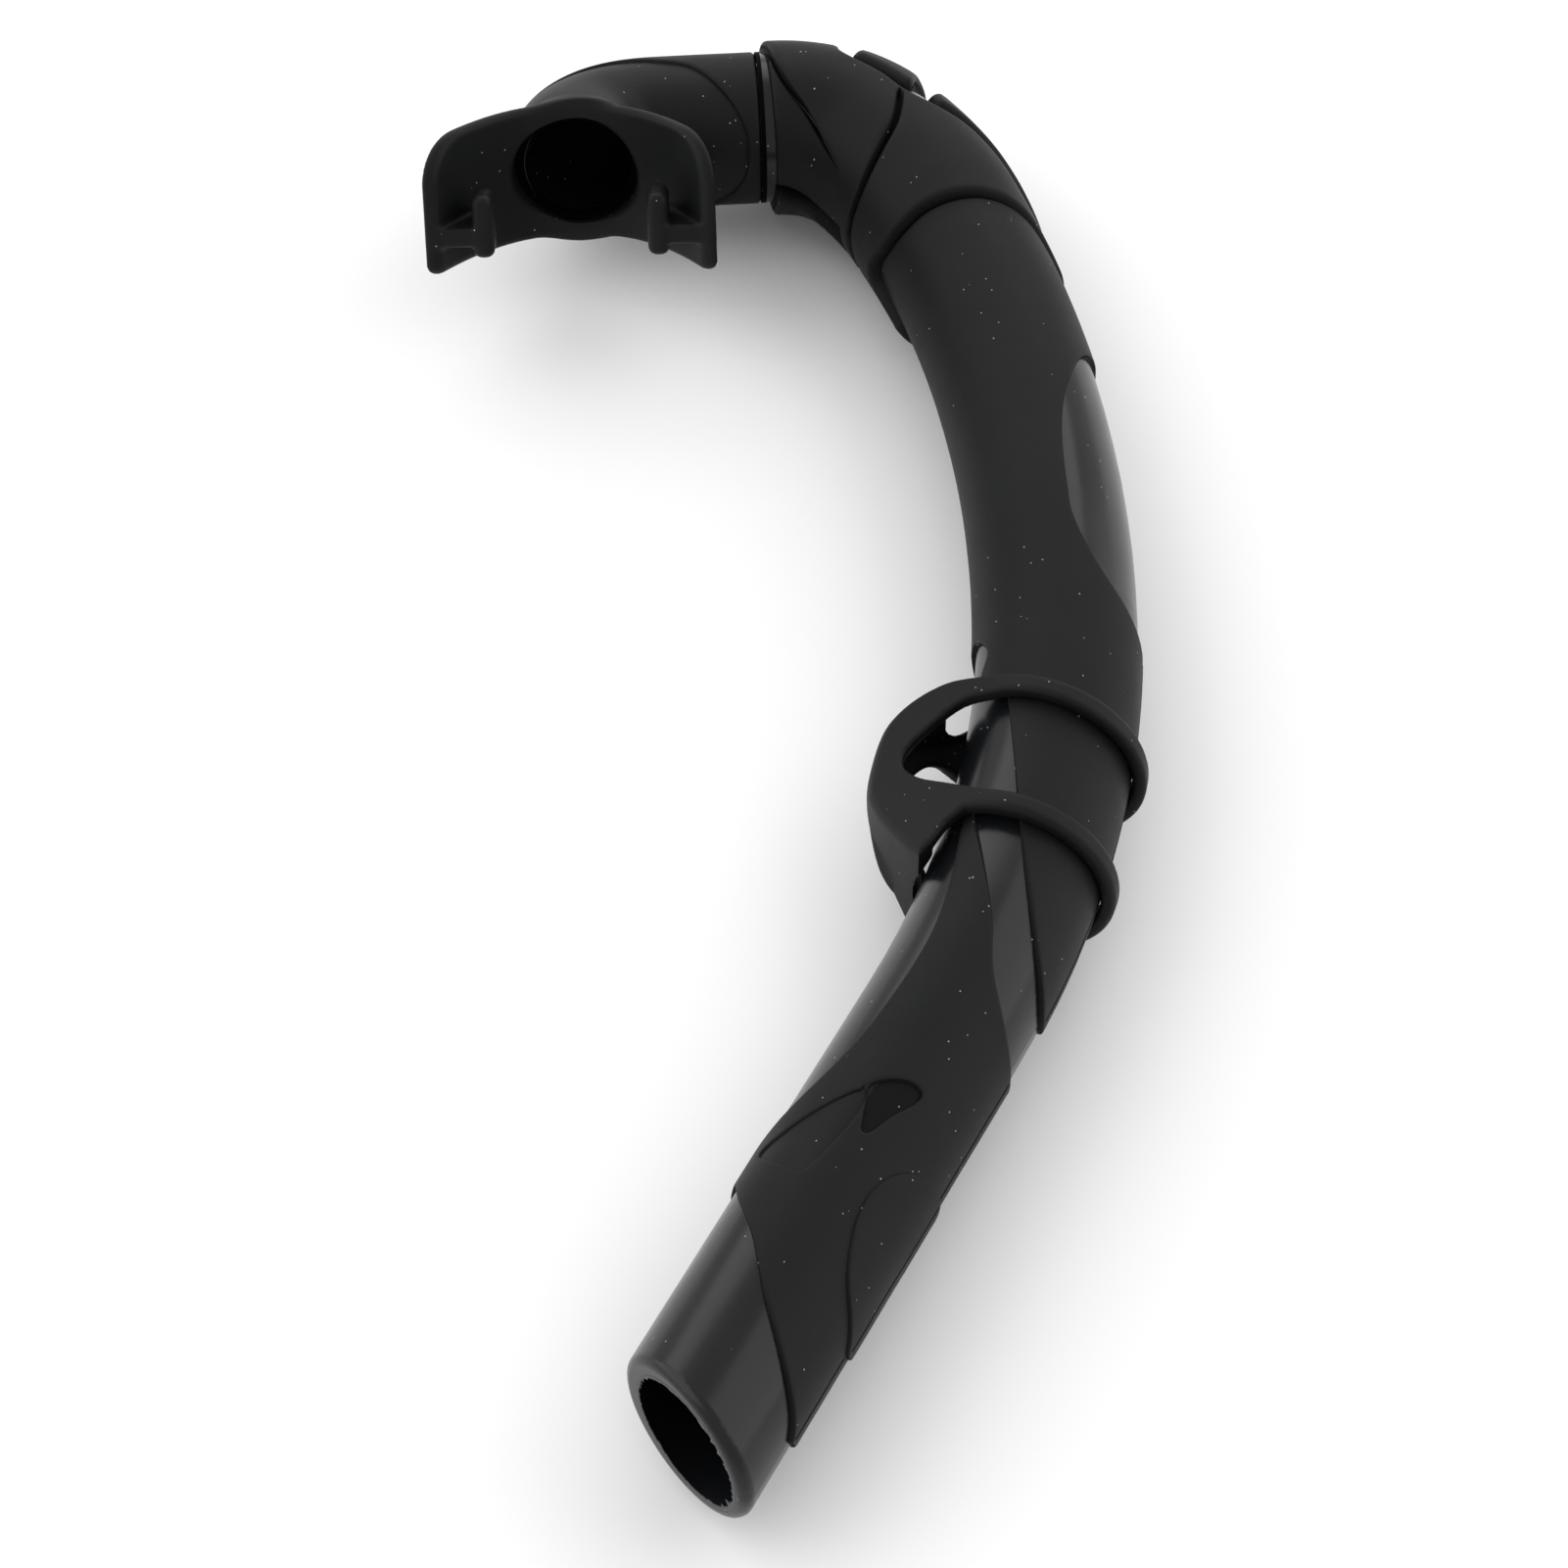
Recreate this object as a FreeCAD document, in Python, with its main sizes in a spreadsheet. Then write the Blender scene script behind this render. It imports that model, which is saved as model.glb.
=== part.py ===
import FreeCAD, Part

import math
import os

import Sketcher
from FreeCAD import Placement, Rotation, Vector

# A snorkel lying flat: a hollow curved barrel, soft skins moulded onto it, a mouthpiece that swivels
# on its near end, and a soft keeper that slides along it. Millimetres, +Z up, resting on Z = 0.
# The barrel's centreline lies in one level plane. Everything is modelled in the barrel's own frame,
# where that plane is Z = 0, and each finished piece is then lifted by the placement in the sheet.

os.makedirs("parts", exist_ok=True)
doc = FreeCAD.newDocument("Snorkel")

# ---------------------------------------------------------------- driving dimensions

SIZES = {
    # where the barrel's frame sits in the finished part's frame
    "shift_x": 1.889,
    "shift_y": -17.011,
    "lift": 16.65,
    # centreline, from the swivel shoulder to the open end
    "shoulder_x": -4.3,
    "shoulder_y": 152.8,
    "start_heading": 4.0,
    "neck_length": 2.8,
    "elbow_bend_radius": 21.5,
    "elbow_bend_angle": 50.1,
    "jaw_bend_radius": 60.3,
    "jaw_bend_angle": 22.8,
    "cheek_bend_radius": 246.0,
    "cheek_bend_angle": 22.0,
    "temple_bend_radius": 189.5,
    "temple_bend_angle": 26.1,
    "top_length": 84.6,
    # barrel
    "barrel_outer": 13.2,
    "barrel_inner": 10.4,
    "rim_slant": 25.0,
    "rim_round": 1.6,
    # swivel spigot
    "spigot_length": 13.0,
    "spigot_outer": 10.9,
    "spigot_inner": 9.4,
    "bead_outer": 11.5,
    "bead_width": 2.0,
    "bead_from_tip": 2.5,
    # moulded skins, outer radii
    "skin_outer": 14.0,
    "root_skin_outer": 14.7,
    "bend_skin_outer": 15.6,
    "pad_outer": 16.2,
    "panel_outer": 14.7,
    # swivel elbow and mouthpiece
    "swivel_gap": 0.9,
    "swivel_play": 0.06,
    "elbow_outer": 12.6,
    "elbow_inner": 9.4,
    "elbow_radius": 14.0,
    "elbow_reach": 32.6,
    "elbow_angle": 52.0,
    "cover_outer": 13.4,
    "cuff_outer": 12.9,
    "nipple_outer": 11.0,
    "mouth_reach": 16.5,
    "mouth_turn": 24.0,
    "mouth_bore_width": 21.5,
    "mouth_bore_height": 18.3,
    "flange_width": 51.2,
    "flange_height": 24.4,
    "flange_rise": -0.15,
    "flange_depth": 21.7,
    "flange_wall": 2.4,
    "flange_turn": 5.0,
    "flange_shift": 0.6,
    "flange_sink": 0.6,
    "upper_corner": 8.5,
    "lower_corner": 2.0,
    "tab_width": 9.3,
    "tab_length": 13.0,
    "tab_height": 3.4,
    "tab_drop": 5.4,
    "lug_width": 3.7,
    "lug_height": 11.2,
    "lug_drop": 3.6,
    "lug_length": 6.6,
    "lug_round": 1.4,
    # keeper
    "keeper_station": 180.0,
    "keeper_bore": 14.35,
    "keeper_wall": 2.3,
    "keeper_nose_reach": 27.6,
    "keeper_nose_round": 4.5,
    "keeper_slant": 8.0,
    "keeper_half_length": 14.2,
    "keeper_ring_width": 4.0,
}

sheet = doc.addObject("Spreadsheet::Sheet", "Sizes")
for row, (alias, value) in enumerate(SIZES.items(), start=1):
    sheet.set(f"A{row}", alias)
    sheet.set(f"B{row}", str(value))
    sheet.setAlias(f"B{row}", alias)
doc.recompute()


def size(alias):
    return float(sheet.get(alias))


def bind(thing, **links):
    """Ties properties of a document object to cells of the sheet."""
    for prop, cells in links.items():
        text = cells
        for alias in sorted(SIZES, key=len, reverse=True):
            text = text.replace("{" + alias + "}", "Sizes." + alias)
        thing.setExpression(prop, text)


# ---------------------------------------------------------------- the centreline

BENDS = ("elbow_bend", "jaw_bend", "cheek_bend", "temple_bend")


def centreline():
    """The runs of the centreline: length, curvature, and the place and heading where each starts."""
    x, y, heading, station = size("shoulder_x"), size("shoulder_y"), math.radians(size("start_heading")), 0.0
    plan = [(size("neck_length"), 0.0, "neck_length", None)]
    for bend in BENDS:
        radius, angle = size(bend + "_radius"), math.radians(size(bend + "_angle"))
        plan.append((radius * angle, -1.0 / radius, bend + "_radius", bend + "_angle"))
    plan.append((size("top_length"), 0.0, "top_length", None))
    runs = []
    for length, curvature, name, angle_name in plan:
        runs.append({"from": station, "length": length, "curvature": curvature, "x": x, "y": y,
                     "heading": heading, "name": name, "angle_name": angle_name})
        turn = curvature * length
        chord = length if not curvature else 2.0 * math.sin(turn / 2.0) / curvature
        x += chord * math.cos(heading + turn / 2.0)
        y += chord * math.sin(heading + turn / 2.0)
        heading += turn
        station += length
    return runs


RUNS = centreline()
BARREL_LENGTH = RUNS[-1]["from"] + RUNS[-1]["length"]


def centre(station):
    """The centreline's point and heading at a station, straight on past either end."""
    run = next((r for r in reversed(RUNS) if station >= r["from"]), RUNS[0])
    along = station - run["from"]
    turn = run["curvature"] * along
    chord = along if not run["curvature"] else 2.0 * math.sin(turn / 2.0) / run["curvature"]
    mid = run["heading"] + turn / 2.0
    point = Vector(run["x"] + chord * math.cos(mid), run["y"] + chord * math.sin(mid), 0)
    return point, run["heading"] + turn


def beside(station, side, up=0.0):
    """A point beside the centreline: side is positive on the outside of the bends."""
    point, heading = centre(station)
    return point + Vector(-math.sin(heading) * side, math.cos(heading) * side, up)


def across(station):
    """A placement at a station whose Z runs along the barrel and whose X is the barrel's outer side."""
    point, heading = centre(station)
    along = Vector(math.cos(heading), math.sin(heading), 0)
    outward = Vector(-math.sin(heading), math.cos(heading), 0)
    return Placement(point, Rotation(outward, Vector(0, 0, 0), along, "ZXY"))


def spine(name, start, end):
    """A sketch in the level plane that follows the centreline between two stations."""
    sketch = doc.addObject("Sketcher::SketchObject", name)
    last = None
    for run in RUNS:
        first_run, last_run = run is RUNS[0], run is RUNS[-1]
        low = start if first_run else max(start, run["from"])
        high = end if last_run else min(end, run["from"] + run["length"])
        if high - low < 0.01:
            continue
        a, b = centre(low)[0], centre(high)[0]
        whole = abs(high - low - run["length"]) < 0.001
        if run["curvature"]:
            radius = -1.0 / run["curvature"]
            heading = run["heading"]
            hub = Vector(run["x"] + math.sin(heading) * radius, run["y"] - math.cos(heading) * radius, 0)
            ends = sorted((math.atan2(p.y - hub.y, p.x - hub.x) for p in (a, b)))
            arc = Part.ArcOfCircle(Part.Circle(hub, Vector(0, 0, 1), radius), *ends)
            edge = sketch.addGeometry(arc, False)
            k = sketch.addConstraint(Sketcher.Constraint("Radius", edge, radius))
            sketch.renameConstraint(k, run["name"])
            sketch.setExpression("Constraints." + run["name"], "Sizes." + run["name"])
            if whole:
                span = math.radians(size(run["angle_name"]))
                k = sketch.addConstraint(Sketcher.Constraint("Angle", edge, span))
                sketch.renameConstraint(k, run["angle_name"])
                sketch.setExpression("Constraints." + run["angle_name"],
                                     "Sizes." + run["angle_name"] + " * 1 deg")
            enter, leave = 2, 1
        else:
            edge = sketch.addGeometry(Part.LineSegment(a, b), False)
            k = sketch.addConstraint(Sketcher.Constraint("Distance", edge, high - low))
            if whole:
                sketch.renameConstraint(k, run["name"])
                sketch.setExpression("Constraints." + run["name"], "Sizes." + run["name"])
            enter, leave = 1, 2
        if last is None:
            sketch.addConstraint(Sketcher.Constraint("DistanceX", edge, enter, a.x))
            sketch.addConstraint(Sketcher.Constraint("DistanceY", edge, enter, a.y))
        else:
            sketch.addConstraint(Sketcher.Constraint("Tangent", last[0], last[1], edge, enter))
        last = (edge, leave)
    return sketch


def pipe(name, path, placement, alias):
    """A round bar swept along a spine."""
    ring = doc.addObject("Part::Circle", name + "_ring")
    ring.Placement = placement
    bind(ring, Radius="{%s}" % alias)
    doc.recompute()
    bar = doc.addObject("Part::Sweep", name)
    bar.Sections = [ring]
    bar.Spine = (path, [f"Edge{i + 1}" for i in range(len(path.Shape.Edges))])
    bar.Solid = True
    bar.Frenet = False
    return bar


def boolean(kind, name, base, tool):
    """Part::Cut, Part::Fuse or Part::Common of two objects."""
    made = doc.addObject("Part::" + kind, name)
    made.Base = base
    made.Tool = tool
    return made


def cylinder(name, placement, radius, height):
    made = doc.addObject("Part::Cylinder", name)
    made.Placement = placement
    bind(made, Radius=radius, Height=height)
    return made


# ---------------------------------------------------------------- barrel

def make_barrel():
    """Hollow barrel: shoulder and spigot for the swivel at one end, slanted open rim at the other."""
    over = 12.0
    outer_path = spine("barrel_line", 0.0, BARREL_LENGTH + over)
    inner_path = spine("bore_line", 2.0, BARREL_LENGTH + over)
    doc.recompute()
    outer = pipe("barrel_solid", outer_path, across(0.0), "barrel_outer")
    bore = pipe("barrel_bore", inner_path, across(2.0), "barrel_inner")
    tip = across(-size("spigot_length"))
    spigot = cylinder("spigot", tip, "{spigot_outer}", "{spigot_length} + 1")
    bead = cylinder("bead", across(-size("spigot_length") + size("bead_from_tip")),
                    "{bead_outer}", "{bead_width}")
    throat = cylinder("throat", across(-size("spigot_length") - 1.0),
                      "{spigot_inner}", "{spigot_length} + 4")
    solid = boolean("Fuse", "barrel_with_spigot", outer, spigot)
    solid = boolean("Fuse", "barrel_with_bead", solid, bead)
    solid = boolean("Cut", "barrel_hollowed", solid, bore)
    solid = boolean("Cut", "barrel_throated", solid, throat)
    knife = doc.addObject("Part::Box", "rim_knife")
    for side in ("Length", "Width", "Height"):
        setattr(knife, side, 80)
    point, heading = centre(BARREL_LENGTH)
    turn = Rotation(Vector(0, 0, 1), math.degrees(heading) - size("rim_slant"))
    knife.Placement = Placement(point, turn).multiply(Placement(Vector(0, -40, -40), Rotation()))
    cut = boolean("Cut", "barrel_cut", solid, knife)
    doc.recompute()
    rim = max((e for e in cut.Shape.Edges if abs((e.CenterOfMass - point).Length) < 2.0),
              key=lambda e: e.Length)
    number = next(i for i, e in enumerate(cut.Shape.Edges, start=1) if e.isSame(rim))
    barrel = doc.addObject("Part::Fillet", "barrel")
    barrel.Base = cut
    barrel.Edges = [(number, size("rim_round"), size("rim_round"))]
    return barrel


# ---------------------------------------------------------------- moulded skins

def outline_prism(name, *stretches):
    """A tall prism over a closed outline. A stretch is a list of (station, side) points, joined by
    one smooth curve; stretches meet at corners."""
    edges = []
    for i, stretch in enumerate(stretches):
        follow = stretches[(i + 1) % len(stretches)]
        points = [beside(*p) for p in stretch] + [beside(*follow[0])]
        if len(points) == 2:
            edges.append(Part.LineSegment(*points).toShape())
        else:
            curve = Part.BSplineCurve()
            curve.interpolate(points)
            edges.append(curve.toShape())
    face = Part.Face(Part.Wire(edges))
    face.translate(Vector(0, 0, -25))
    prism = doc.addObject("Part::Feature", name)
    prism.Shape = face.extrude(Vector(0, 0, 50))
    return prism


def shell(name, start, end, inner, outer):
    """A sleeve round the barrel between two stations."""
    path = spine(name + "_line", start, end)
    doc.recompute()
    fat = pipe(name + "_out", path, across(start), outer)
    thin = pipe(name + "_in", path, across(start), inner)
    return boolean("Cut", name, fat, thin)


WIDE = 24.0     # an outline reaches this far to the side where a skin goes all the way round


def make_skins():
    """The soft skins, each a swooping island on the barrel."""
    skins = {}
    bend = shell("bend_shell", 0.2, 70.0, "barrel_outer", "bend_skin_outer")
    root = shell("root_shell", 0.2, 44.0, "barrel_outer", "root_skin_outer")
    pads = shell("pad_shell", 8.0, 64.0, "barrel_outer", "pad_outer")
    thin = shell("skin_shell", 50.0, 309.5, "barrel_outer", "skin_outer")
    panel = shell("panel_shell", 250.0, 296.0, "skin_outer", "panel_outer")

    skins["neck_skin"] = boolean("Common", "neck_skin", root, outline_prism(
        "neck_skin_outline",
        [(0.4, 7.0), (1.2, -1.0), (2.0, -11.0)],
        [(2.2, -WIDE / 1.4)],
        [(33.0, -WIDE / 1.4)],
        [(33.0, -15.3), (28.8, -13.9), (24.2, -12.6), (13.4, -9.75), (6.5, -4.5), (3.45, -0.9)],
        [(0.8, 7.0)]))
    skins["bend_sleeve"] = boolean("Common", "bend_sleeve", bend, outline_prism(
        "bend_sleeve_outline",
        [(1.0, 8.4), (4.0, -0.5), (7.0, -4.0), (13.8, -9.2), (24.4, -12.1), (29.0, -13.4)],
        [(33.6, -15.0)],
        [(37.8, -WIDE / 1.4)],
        [(37.8, -15.5), (37.0, -13.9), (34.8, -10.5), (32.5, -6.4), (30.2, -2.7)],
        [(25.6, 4.2), (31.0, -2.7), (33.9, -6.4), (36.8, -10.5), (39.8, -13.9)],
        [(41.8, -15.5)],
        [(41.8, -WIDE / 1.4)],
        [(64.0, -WIDE / 1.4)],
        [(63.5, -15.6), (57.5, -15.0), (53.5, -13.9), (51.8, -11.0), (51.5, -5.0)],
        [(51.8, 0.0), (52.6, 4.0), (54.4, 9.4), (57.0, 12.6), (61.0, 14.6)],
        [(66.0, 16.0)],
        [(55.0, WIDE / 1.4)],
        [(53.0, 15.3), (46.0, 14.2), (40.0, 13.3), (34.6, 11.4), (29.5, 8.2)],
        [(25.0, 6.4), (20.0, 6.6)],
        [(11.0, 7.6)],
        [(8.6, 10.0), (9.0, WIDE / 1.4)],
        [(0.2, WIDE / 1.4)]))
    skins["outer_pad_small"] = boolean("Common", "outer_pad_small", pads, outline_prism(
        "outer_pad_small_outline",
        [(12.2, 9.2), (17.0, 7.6)],
        [(23.0, 7.4), (24.2, 8.6), (24.2, 11.0)],
        [(23.8, WIDE)],
        [(11.6, WIDE)]))
    skins["outer_pad_long"] = boolean("Common", "outer_pad_long", pads, outline_prism(
        "outer_pad_long_outline",
        [(27.0, 11.0), (27.2, 9.6), (28.6, 8.9)],
        [(30.4, 9.4), (34.5, 12.3), (40.0, 14.1), (46.0, 15.0)],
        [(53.0, 16.4)],
        [(53.0, WIDE)],
        [(26.8, WIDE)]))
    skins["barrel_skin"] = boolean("Common", "barrel_skin", thin, outline_prism(
        "barrel_skin_outline",
        [(51.5, -5.2), (51.9, -11.0), (53.7, -13.6)],
        [(57.5, -14.8)],
        [(57.5, -WIDE)],
        [(147.0, -WIDE)],
        [(148.0, -14.4), (154.0, -12.2), (160.0, -10.6), (166.0, -8.4), (176.0, -6.4), (193.0, -0.3),
         (205.0, 4.6), (214.0, 9.2)],
        [(223.0, 13.4)],
        [(226.0, WIDE)],
        [(147.0, WIDE)],
        [(147.0, 14.2), (143.5, 11.6), (138.4, 7.4), (132.0, 4.2), (124.0, 2.7), (113.0, 2.7),
         (105.0, 3.9), (97.7, 6.2), (91.5, 9.4)],
        [(87.5, 12.2), (86.0, WIDE)],
        [(60.5, WIDE)],
        [(60.5, 14.5), (57.0, 12.4), (54.4, 9.2), (52.6, 3.8)],
        [(51.8, -0.2)]))
    crescent = outline_prism(
        "crescent_outline",
        [(263.6, -14.6), (260.0, -12.8), (256.4, -10.4), (253.0, -7.0), (250.4, -3.0)],
        [(248.9, 0.4), (248.6, 1.8), (249.2, 3.0)],
        [(250.0, 3.2), (253.4, 1.3), (256.2, 0.4)],
        [(256.6, -0.4), (258.4, -2.6), (262.6, -4.0)],
        [(268.6, -4.8)],
        [(268.0, -9.0), (267.6, -12.0)],
        [(268.0, -15.0)],
        [(266.0, -WIDE)],
        [(263.6, -WIDE)])
    upper = boolean("Common", "upper_skin_whole", thin, outline_prism(
        "upper_skin_outline",
        [(191.0, -7.8), (203.6, -3.8), (216.0, 1.8), (226.0, 7.3), (232.4, 12.0)],
        [(234.6, 13.6)],
        [(235.0, WIDE)],
        [(308.0, WIDE)],
        [(308.0, 14.2), (300.6, 8.5), (292.4, 2.1), (282.0, -5.1), (275.5, -9.6)],
        [(270.4, -13.6)],
        [(270.4, -WIDE)],
        [(262.2, -WIDE)],
        [(262.0, -13.9), (252.0, -9.6), (242.0, -6.7), (227.0, -5.5), (218.0, -5.8), (207.4, -7.1)],
        [(196.4, -8.6)]))
    skins["upper_skin"] = boolean("Cut", "upper_skin", upper, crescent)
    skins["teardrop_panel"] = boolean("Common", "teardrop_panel", panel, outline_prism(
        "teardrop_outline",
        [(290.0, 15.0), (285.8, 11.4), (281.2, 8.8), (275.6, 7.2), (269.0, 6.4), (264.2, 6.9),
         (260.0, 8.6), (257.6, 10.6), (256.8, 13.0)],
        [(256.6, WIDE)],
        [(290.0, WIDE)]))
    return skins


# ---------------------------------------------------------------- swivel elbow and mouthpiece

def swivel_frame():
    """The elbow's own frame: origin on the swivel axis at the shoulder, X along the axis away from the
    barrel, Y the way the mouth points before the elbow is turned, Z completing the frame."""
    point, heading = centre(0.0)
    away = Vector(-math.cos(heading), -math.sin(heading), 0)
    level = Vector(math.sin(heading), -math.cos(heading), 0)
    mouth = Rotation(away, size("mouth_turn")).multVec(level)
    return Placement(point, Rotation(away, mouth, Vector(0, 0, 0), "XYZ"))


def bent_bar(name, radius, start_angle, end_angle, lead=0.0, tail=0.0):
    """A round bar along the elbow's arc, with a straight lead before it and a straight tail after."""
    bend, reach = size("elbow_radius"), size("elbow_reach")
    hub = Vector(reach - bend, bend, 0)

    def on_arc(degrees):
        a = math.radians(degrees)
        return hub + Vector(math.sin(a) * bend, -math.cos(a) * bend, 0)

    edges = []
    begin = on_arc(start_angle)
    direction = Vector(math.cos(math.radians(start_angle)), math.sin(math.radians(start_angle)), 0)
    if lead:
        edges.append(Part.LineSegment(begin - direction * lead, begin).toShape())
        begin = begin - direction * lead
    middle = on_arc((start_angle + end_angle) / 2.0)
    edges.append(Part.Arc(on_arc(start_angle), middle, on_arc(end_angle)).toShape())
    if tail:
        out = Vector(math.cos(math.radians(end_angle)), math.sin(math.radians(end_angle)), 0)
        edges.append(Part.LineSegment(on_arc(end_angle), on_arc(end_angle) + out * tail).toShape())
    path = Part.Wire(edges)
    ring = Part.Wire(Part.Circle(begin, direction, radius).toShape())
    return path.makePipeShell([ring], True, False)


def stored(name, shape):
    made = doc.addObject("Part::Feature", name)
    made.Shape = shape
    return made


def round_bar(start, direction, radius, length):
    return Part.makeCylinder(radius, length, start, direction)


X_AXIS, Y_AXIS = Vector(1, 0, 0), Vector(0, 1, 0)


def make_elbow(frame):
    """Rigid elbow: a socket that runs on the spigot, a quarter bend, and a nipple for the mouthpiece."""
    gap, reach, bend = size("swivel_gap"), size("elbow_reach"), size("elbow_radius")
    play = size("swivel_play")
    lead = reach - bend - gap
    split = size("elbow_angle")
    solid = bent_bar("elbow_solid", size("elbow_outer"), 0.0, split, lead=lead)
    nipple = bent_bar("nipple_solid", size("nipple_outer"), 0.0, 90.0)
    solid = solid.fuse(nipple)
    socket_depth = size("spigot_length") + 0.6
    socket = round_bar(Vector(0, 0, 0), X_AXIS, size("spigot_outer") + play, socket_depth)
    groove_start = size("spigot_length") - size("bead_from_tip") - size("bead_width") - 0.3
    groove = round_bar(Vector(groove_start, 0, 0), X_AXIS, size("bead_outer") + play,
                       size("bead_width") + 0.6)
    bore = bent_bar("elbow_bore", size("elbow_inner"), 0.0, 90.0, lead=lead, tail=2.0)
    solid = solid.cut(socket).cut(groove).cut(bore)
    elbow = stored("swivel_elbow", solid.removeSplitter())
    elbow.Placement = frame
    return elbow


def make_cover(frame):
    """Soft skin over the elbow's collar, with one swooping edge across the bend."""
    gap, reach, bend = size("swivel_gap"), size("elbow_reach"), size("elbow_radius")
    lead = reach - bend - gap
    fat = bent_bar("cover_out", size("cover_outer"), 0.0, size("elbow_angle"), lead=lead)
    core = bent_bar("cover_in", size("elbow_outer"), 0.0, size("elbow_angle"), lead=lead)
    points = [Vector(2.9, 20, 0), Vector(3.1, 12.8, 0), Vector(4.4, 10.8, 0), Vector(7.2, 7.9, 0),
              Vector(12.8, 2.3, 0), Vector(18.8, -0.7, 0), Vector(26.0, -5.0, 0), Vector(34.0, -11.0, 0),
              Vector(42.0, -13.0, 0)]
    edge = Part.BSplineCurve()
    edge.interpolate(points)
    corners = [points[-1], Vector(42, -25, 0), Vector(-2, -25, 0), Vector(-2, 20, 0), points[0]]
    sides = [Part.LineSegment(a, b).toShape() for a, b in zip(corners, corners[1:])]
    face = Part.Face(Part.Wire([edge.toShape()] + sides))
    face.translate(Vector(0, 0, -25))
    solid = fat.cut(core).common(face.extrude(Vector(0, 0, 50)))
    cover = stored("elbow_cover", solid)
    cover.Placement = frame
    return cover


FLANGE_STEPS = 8        # points on each half of the flange's curve
SWEEP = 2.27            # how late the curve turns towards the teeth


def flange_line(offset):
    """The flange's curve seen from above: half-width against depth towards the teeth, moved square
    to itself by the offset."""
    half, depth = size("flange_width") / 2.0, size("flange_depth")
    points = []
    for i in range(-FLANGE_STEPS, FLANGE_STEPS + 1):
        share = i / FLANGE_STEPS
        slope = math.copysign(SWEEP * depth / half * abs(share) ** (SWEEP - 1.0), share)
        across_wall = offset / math.hypot(1.0, slope)
        points.append(Vector(half * share - slope * across_wall,
                             depth * abs(share) ** SWEEP + across_wall, 0))
    return points


def make_flange():
    """The curved flange, in its own frame: X across the mouth, Y towards the teeth."""
    width, depth, wall = size("flange_width"), size("flange_depth"), size("flange_wall")
    height = size("flange_height")
    low = size("flange_rise") - height / 2.0
    back, front = flange_line(0.0), flange_line(wall)
    outer, inner = Part.BSplineCurve(), Part.BSplineCurve()
    outer.interpolate(back)
    inner.interpolate(list(reversed(front)))
    right = Part.LineSegment(back[-1], front[-1]).toShape()
    left = Part.LineSegment(front[0], back[0]).toShape()
    section = Part.Face(Part.Wire([outer.toShape(), right, inner.toShape(), left]))
    section.translate(Vector(0, 0, low))
    flange = section.extrude(Vector(0, 0, height))
    behind = 6.0
    keep = Part.makeBox(2 * width, depth + behind, height, Vector(-width, -behind, low))
    for level, radius in ((low, "lower_corner"), (low + height, "upper_corner")):
        front_edges = [e for e in keep.Edges if abs(e.BoundBox.YMin - depth) < 0.01
                       and e.BoundBox.XLength > width and abs(e.BoundBox.ZMin - level) < 0.01]
        keep = keep.makeFillet(size(radius), front_edges)
    return flange.common(keep)


def make_bite(sign):
    """One bite tab with its upright lug, in the flange's frame, on the side the sign gives."""
    depth, tab_width, tab_length = size("flange_depth"), size("tab_width"), size("tab_length")
    tab_height = size("tab_height")
    lug_width, lug_height, lug_length = size("lug_width"), size("lug_height"), size("lug_length")
    outer = size("flange_width") / 2.0 - size("flange_wall") / 2.0
    inner = outer - tab_width
    tab_corner = Vector(min(sign * outer, sign * inner), depth - tab_length,
                        -size("tab_drop") - tab_height / 2.0)
    tab = Part.makeBox(tab_width, tab_length, tab_height, tab_corner)
    lug_corner = Vector(sign * inner - lug_width / 2.0, depth - lug_length,
                        -size("lug_drop") - lug_height / 2.0)
    lug = Part.makeBox(lug_width, lug_length, lug_height, lug_corner)
    return tab.fuse(lug.makeFillet(size("lug_round"), lug.Edges))


def make_mouthpiece(frame):
    """Soft mouthpiece: cuff on the nipple, curved flange, and two bite tabs with lugs."""
    split = size("elbow_angle")
    tail = size("mouth_reach") - size("elbow_radius")
    cuff = bent_bar("cuff_solid", size("cuff_outer"), split, 90.0, tail=tail)
    cuff = cuff.cut(bent_bar("cuff_hole", size("nipple_outer"), split - 2.0, 90.0))

    seat = Placement(Vector(size("elbow_reach") + size("flange_shift"),
                            size("mouth_reach") - size("flange_sink"), 0),
                     Rotation(Vector(0, 0, 1), -size("flange_turn")))
    flange = make_flange().fuse(make_bite(-1)).fuse(make_bite(1))
    flange.Placement = seat
    solid = flange.fuse(cuff)

    before, through = 4.5, 15.0
    oval = Part.Ellipse(Vector(0, 0, 0), size("mouth_bore_width") / 2.0, size("mouth_bore_height") / 2.0)
    oval = Part.Face(Part.Wire(oval.toShape()))
    facing = Placement(Vector(0, -before, 0), Rotation(X_AXIS, Vector(0, 0, 0), Y_AXIS, "ZXY"))
    oval.Placement = seat.multiply(facing)
    solid = solid.cut(oval.extrude(seat.Rotation.multVec(Y_AXIS) * through))
    mouthpiece = stored("mouthpiece", solid.removeSplitter())
    mouthpiece.Placement = frame
    return mouthpiece


# ---------------------------------------------------------------- keeper

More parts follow.
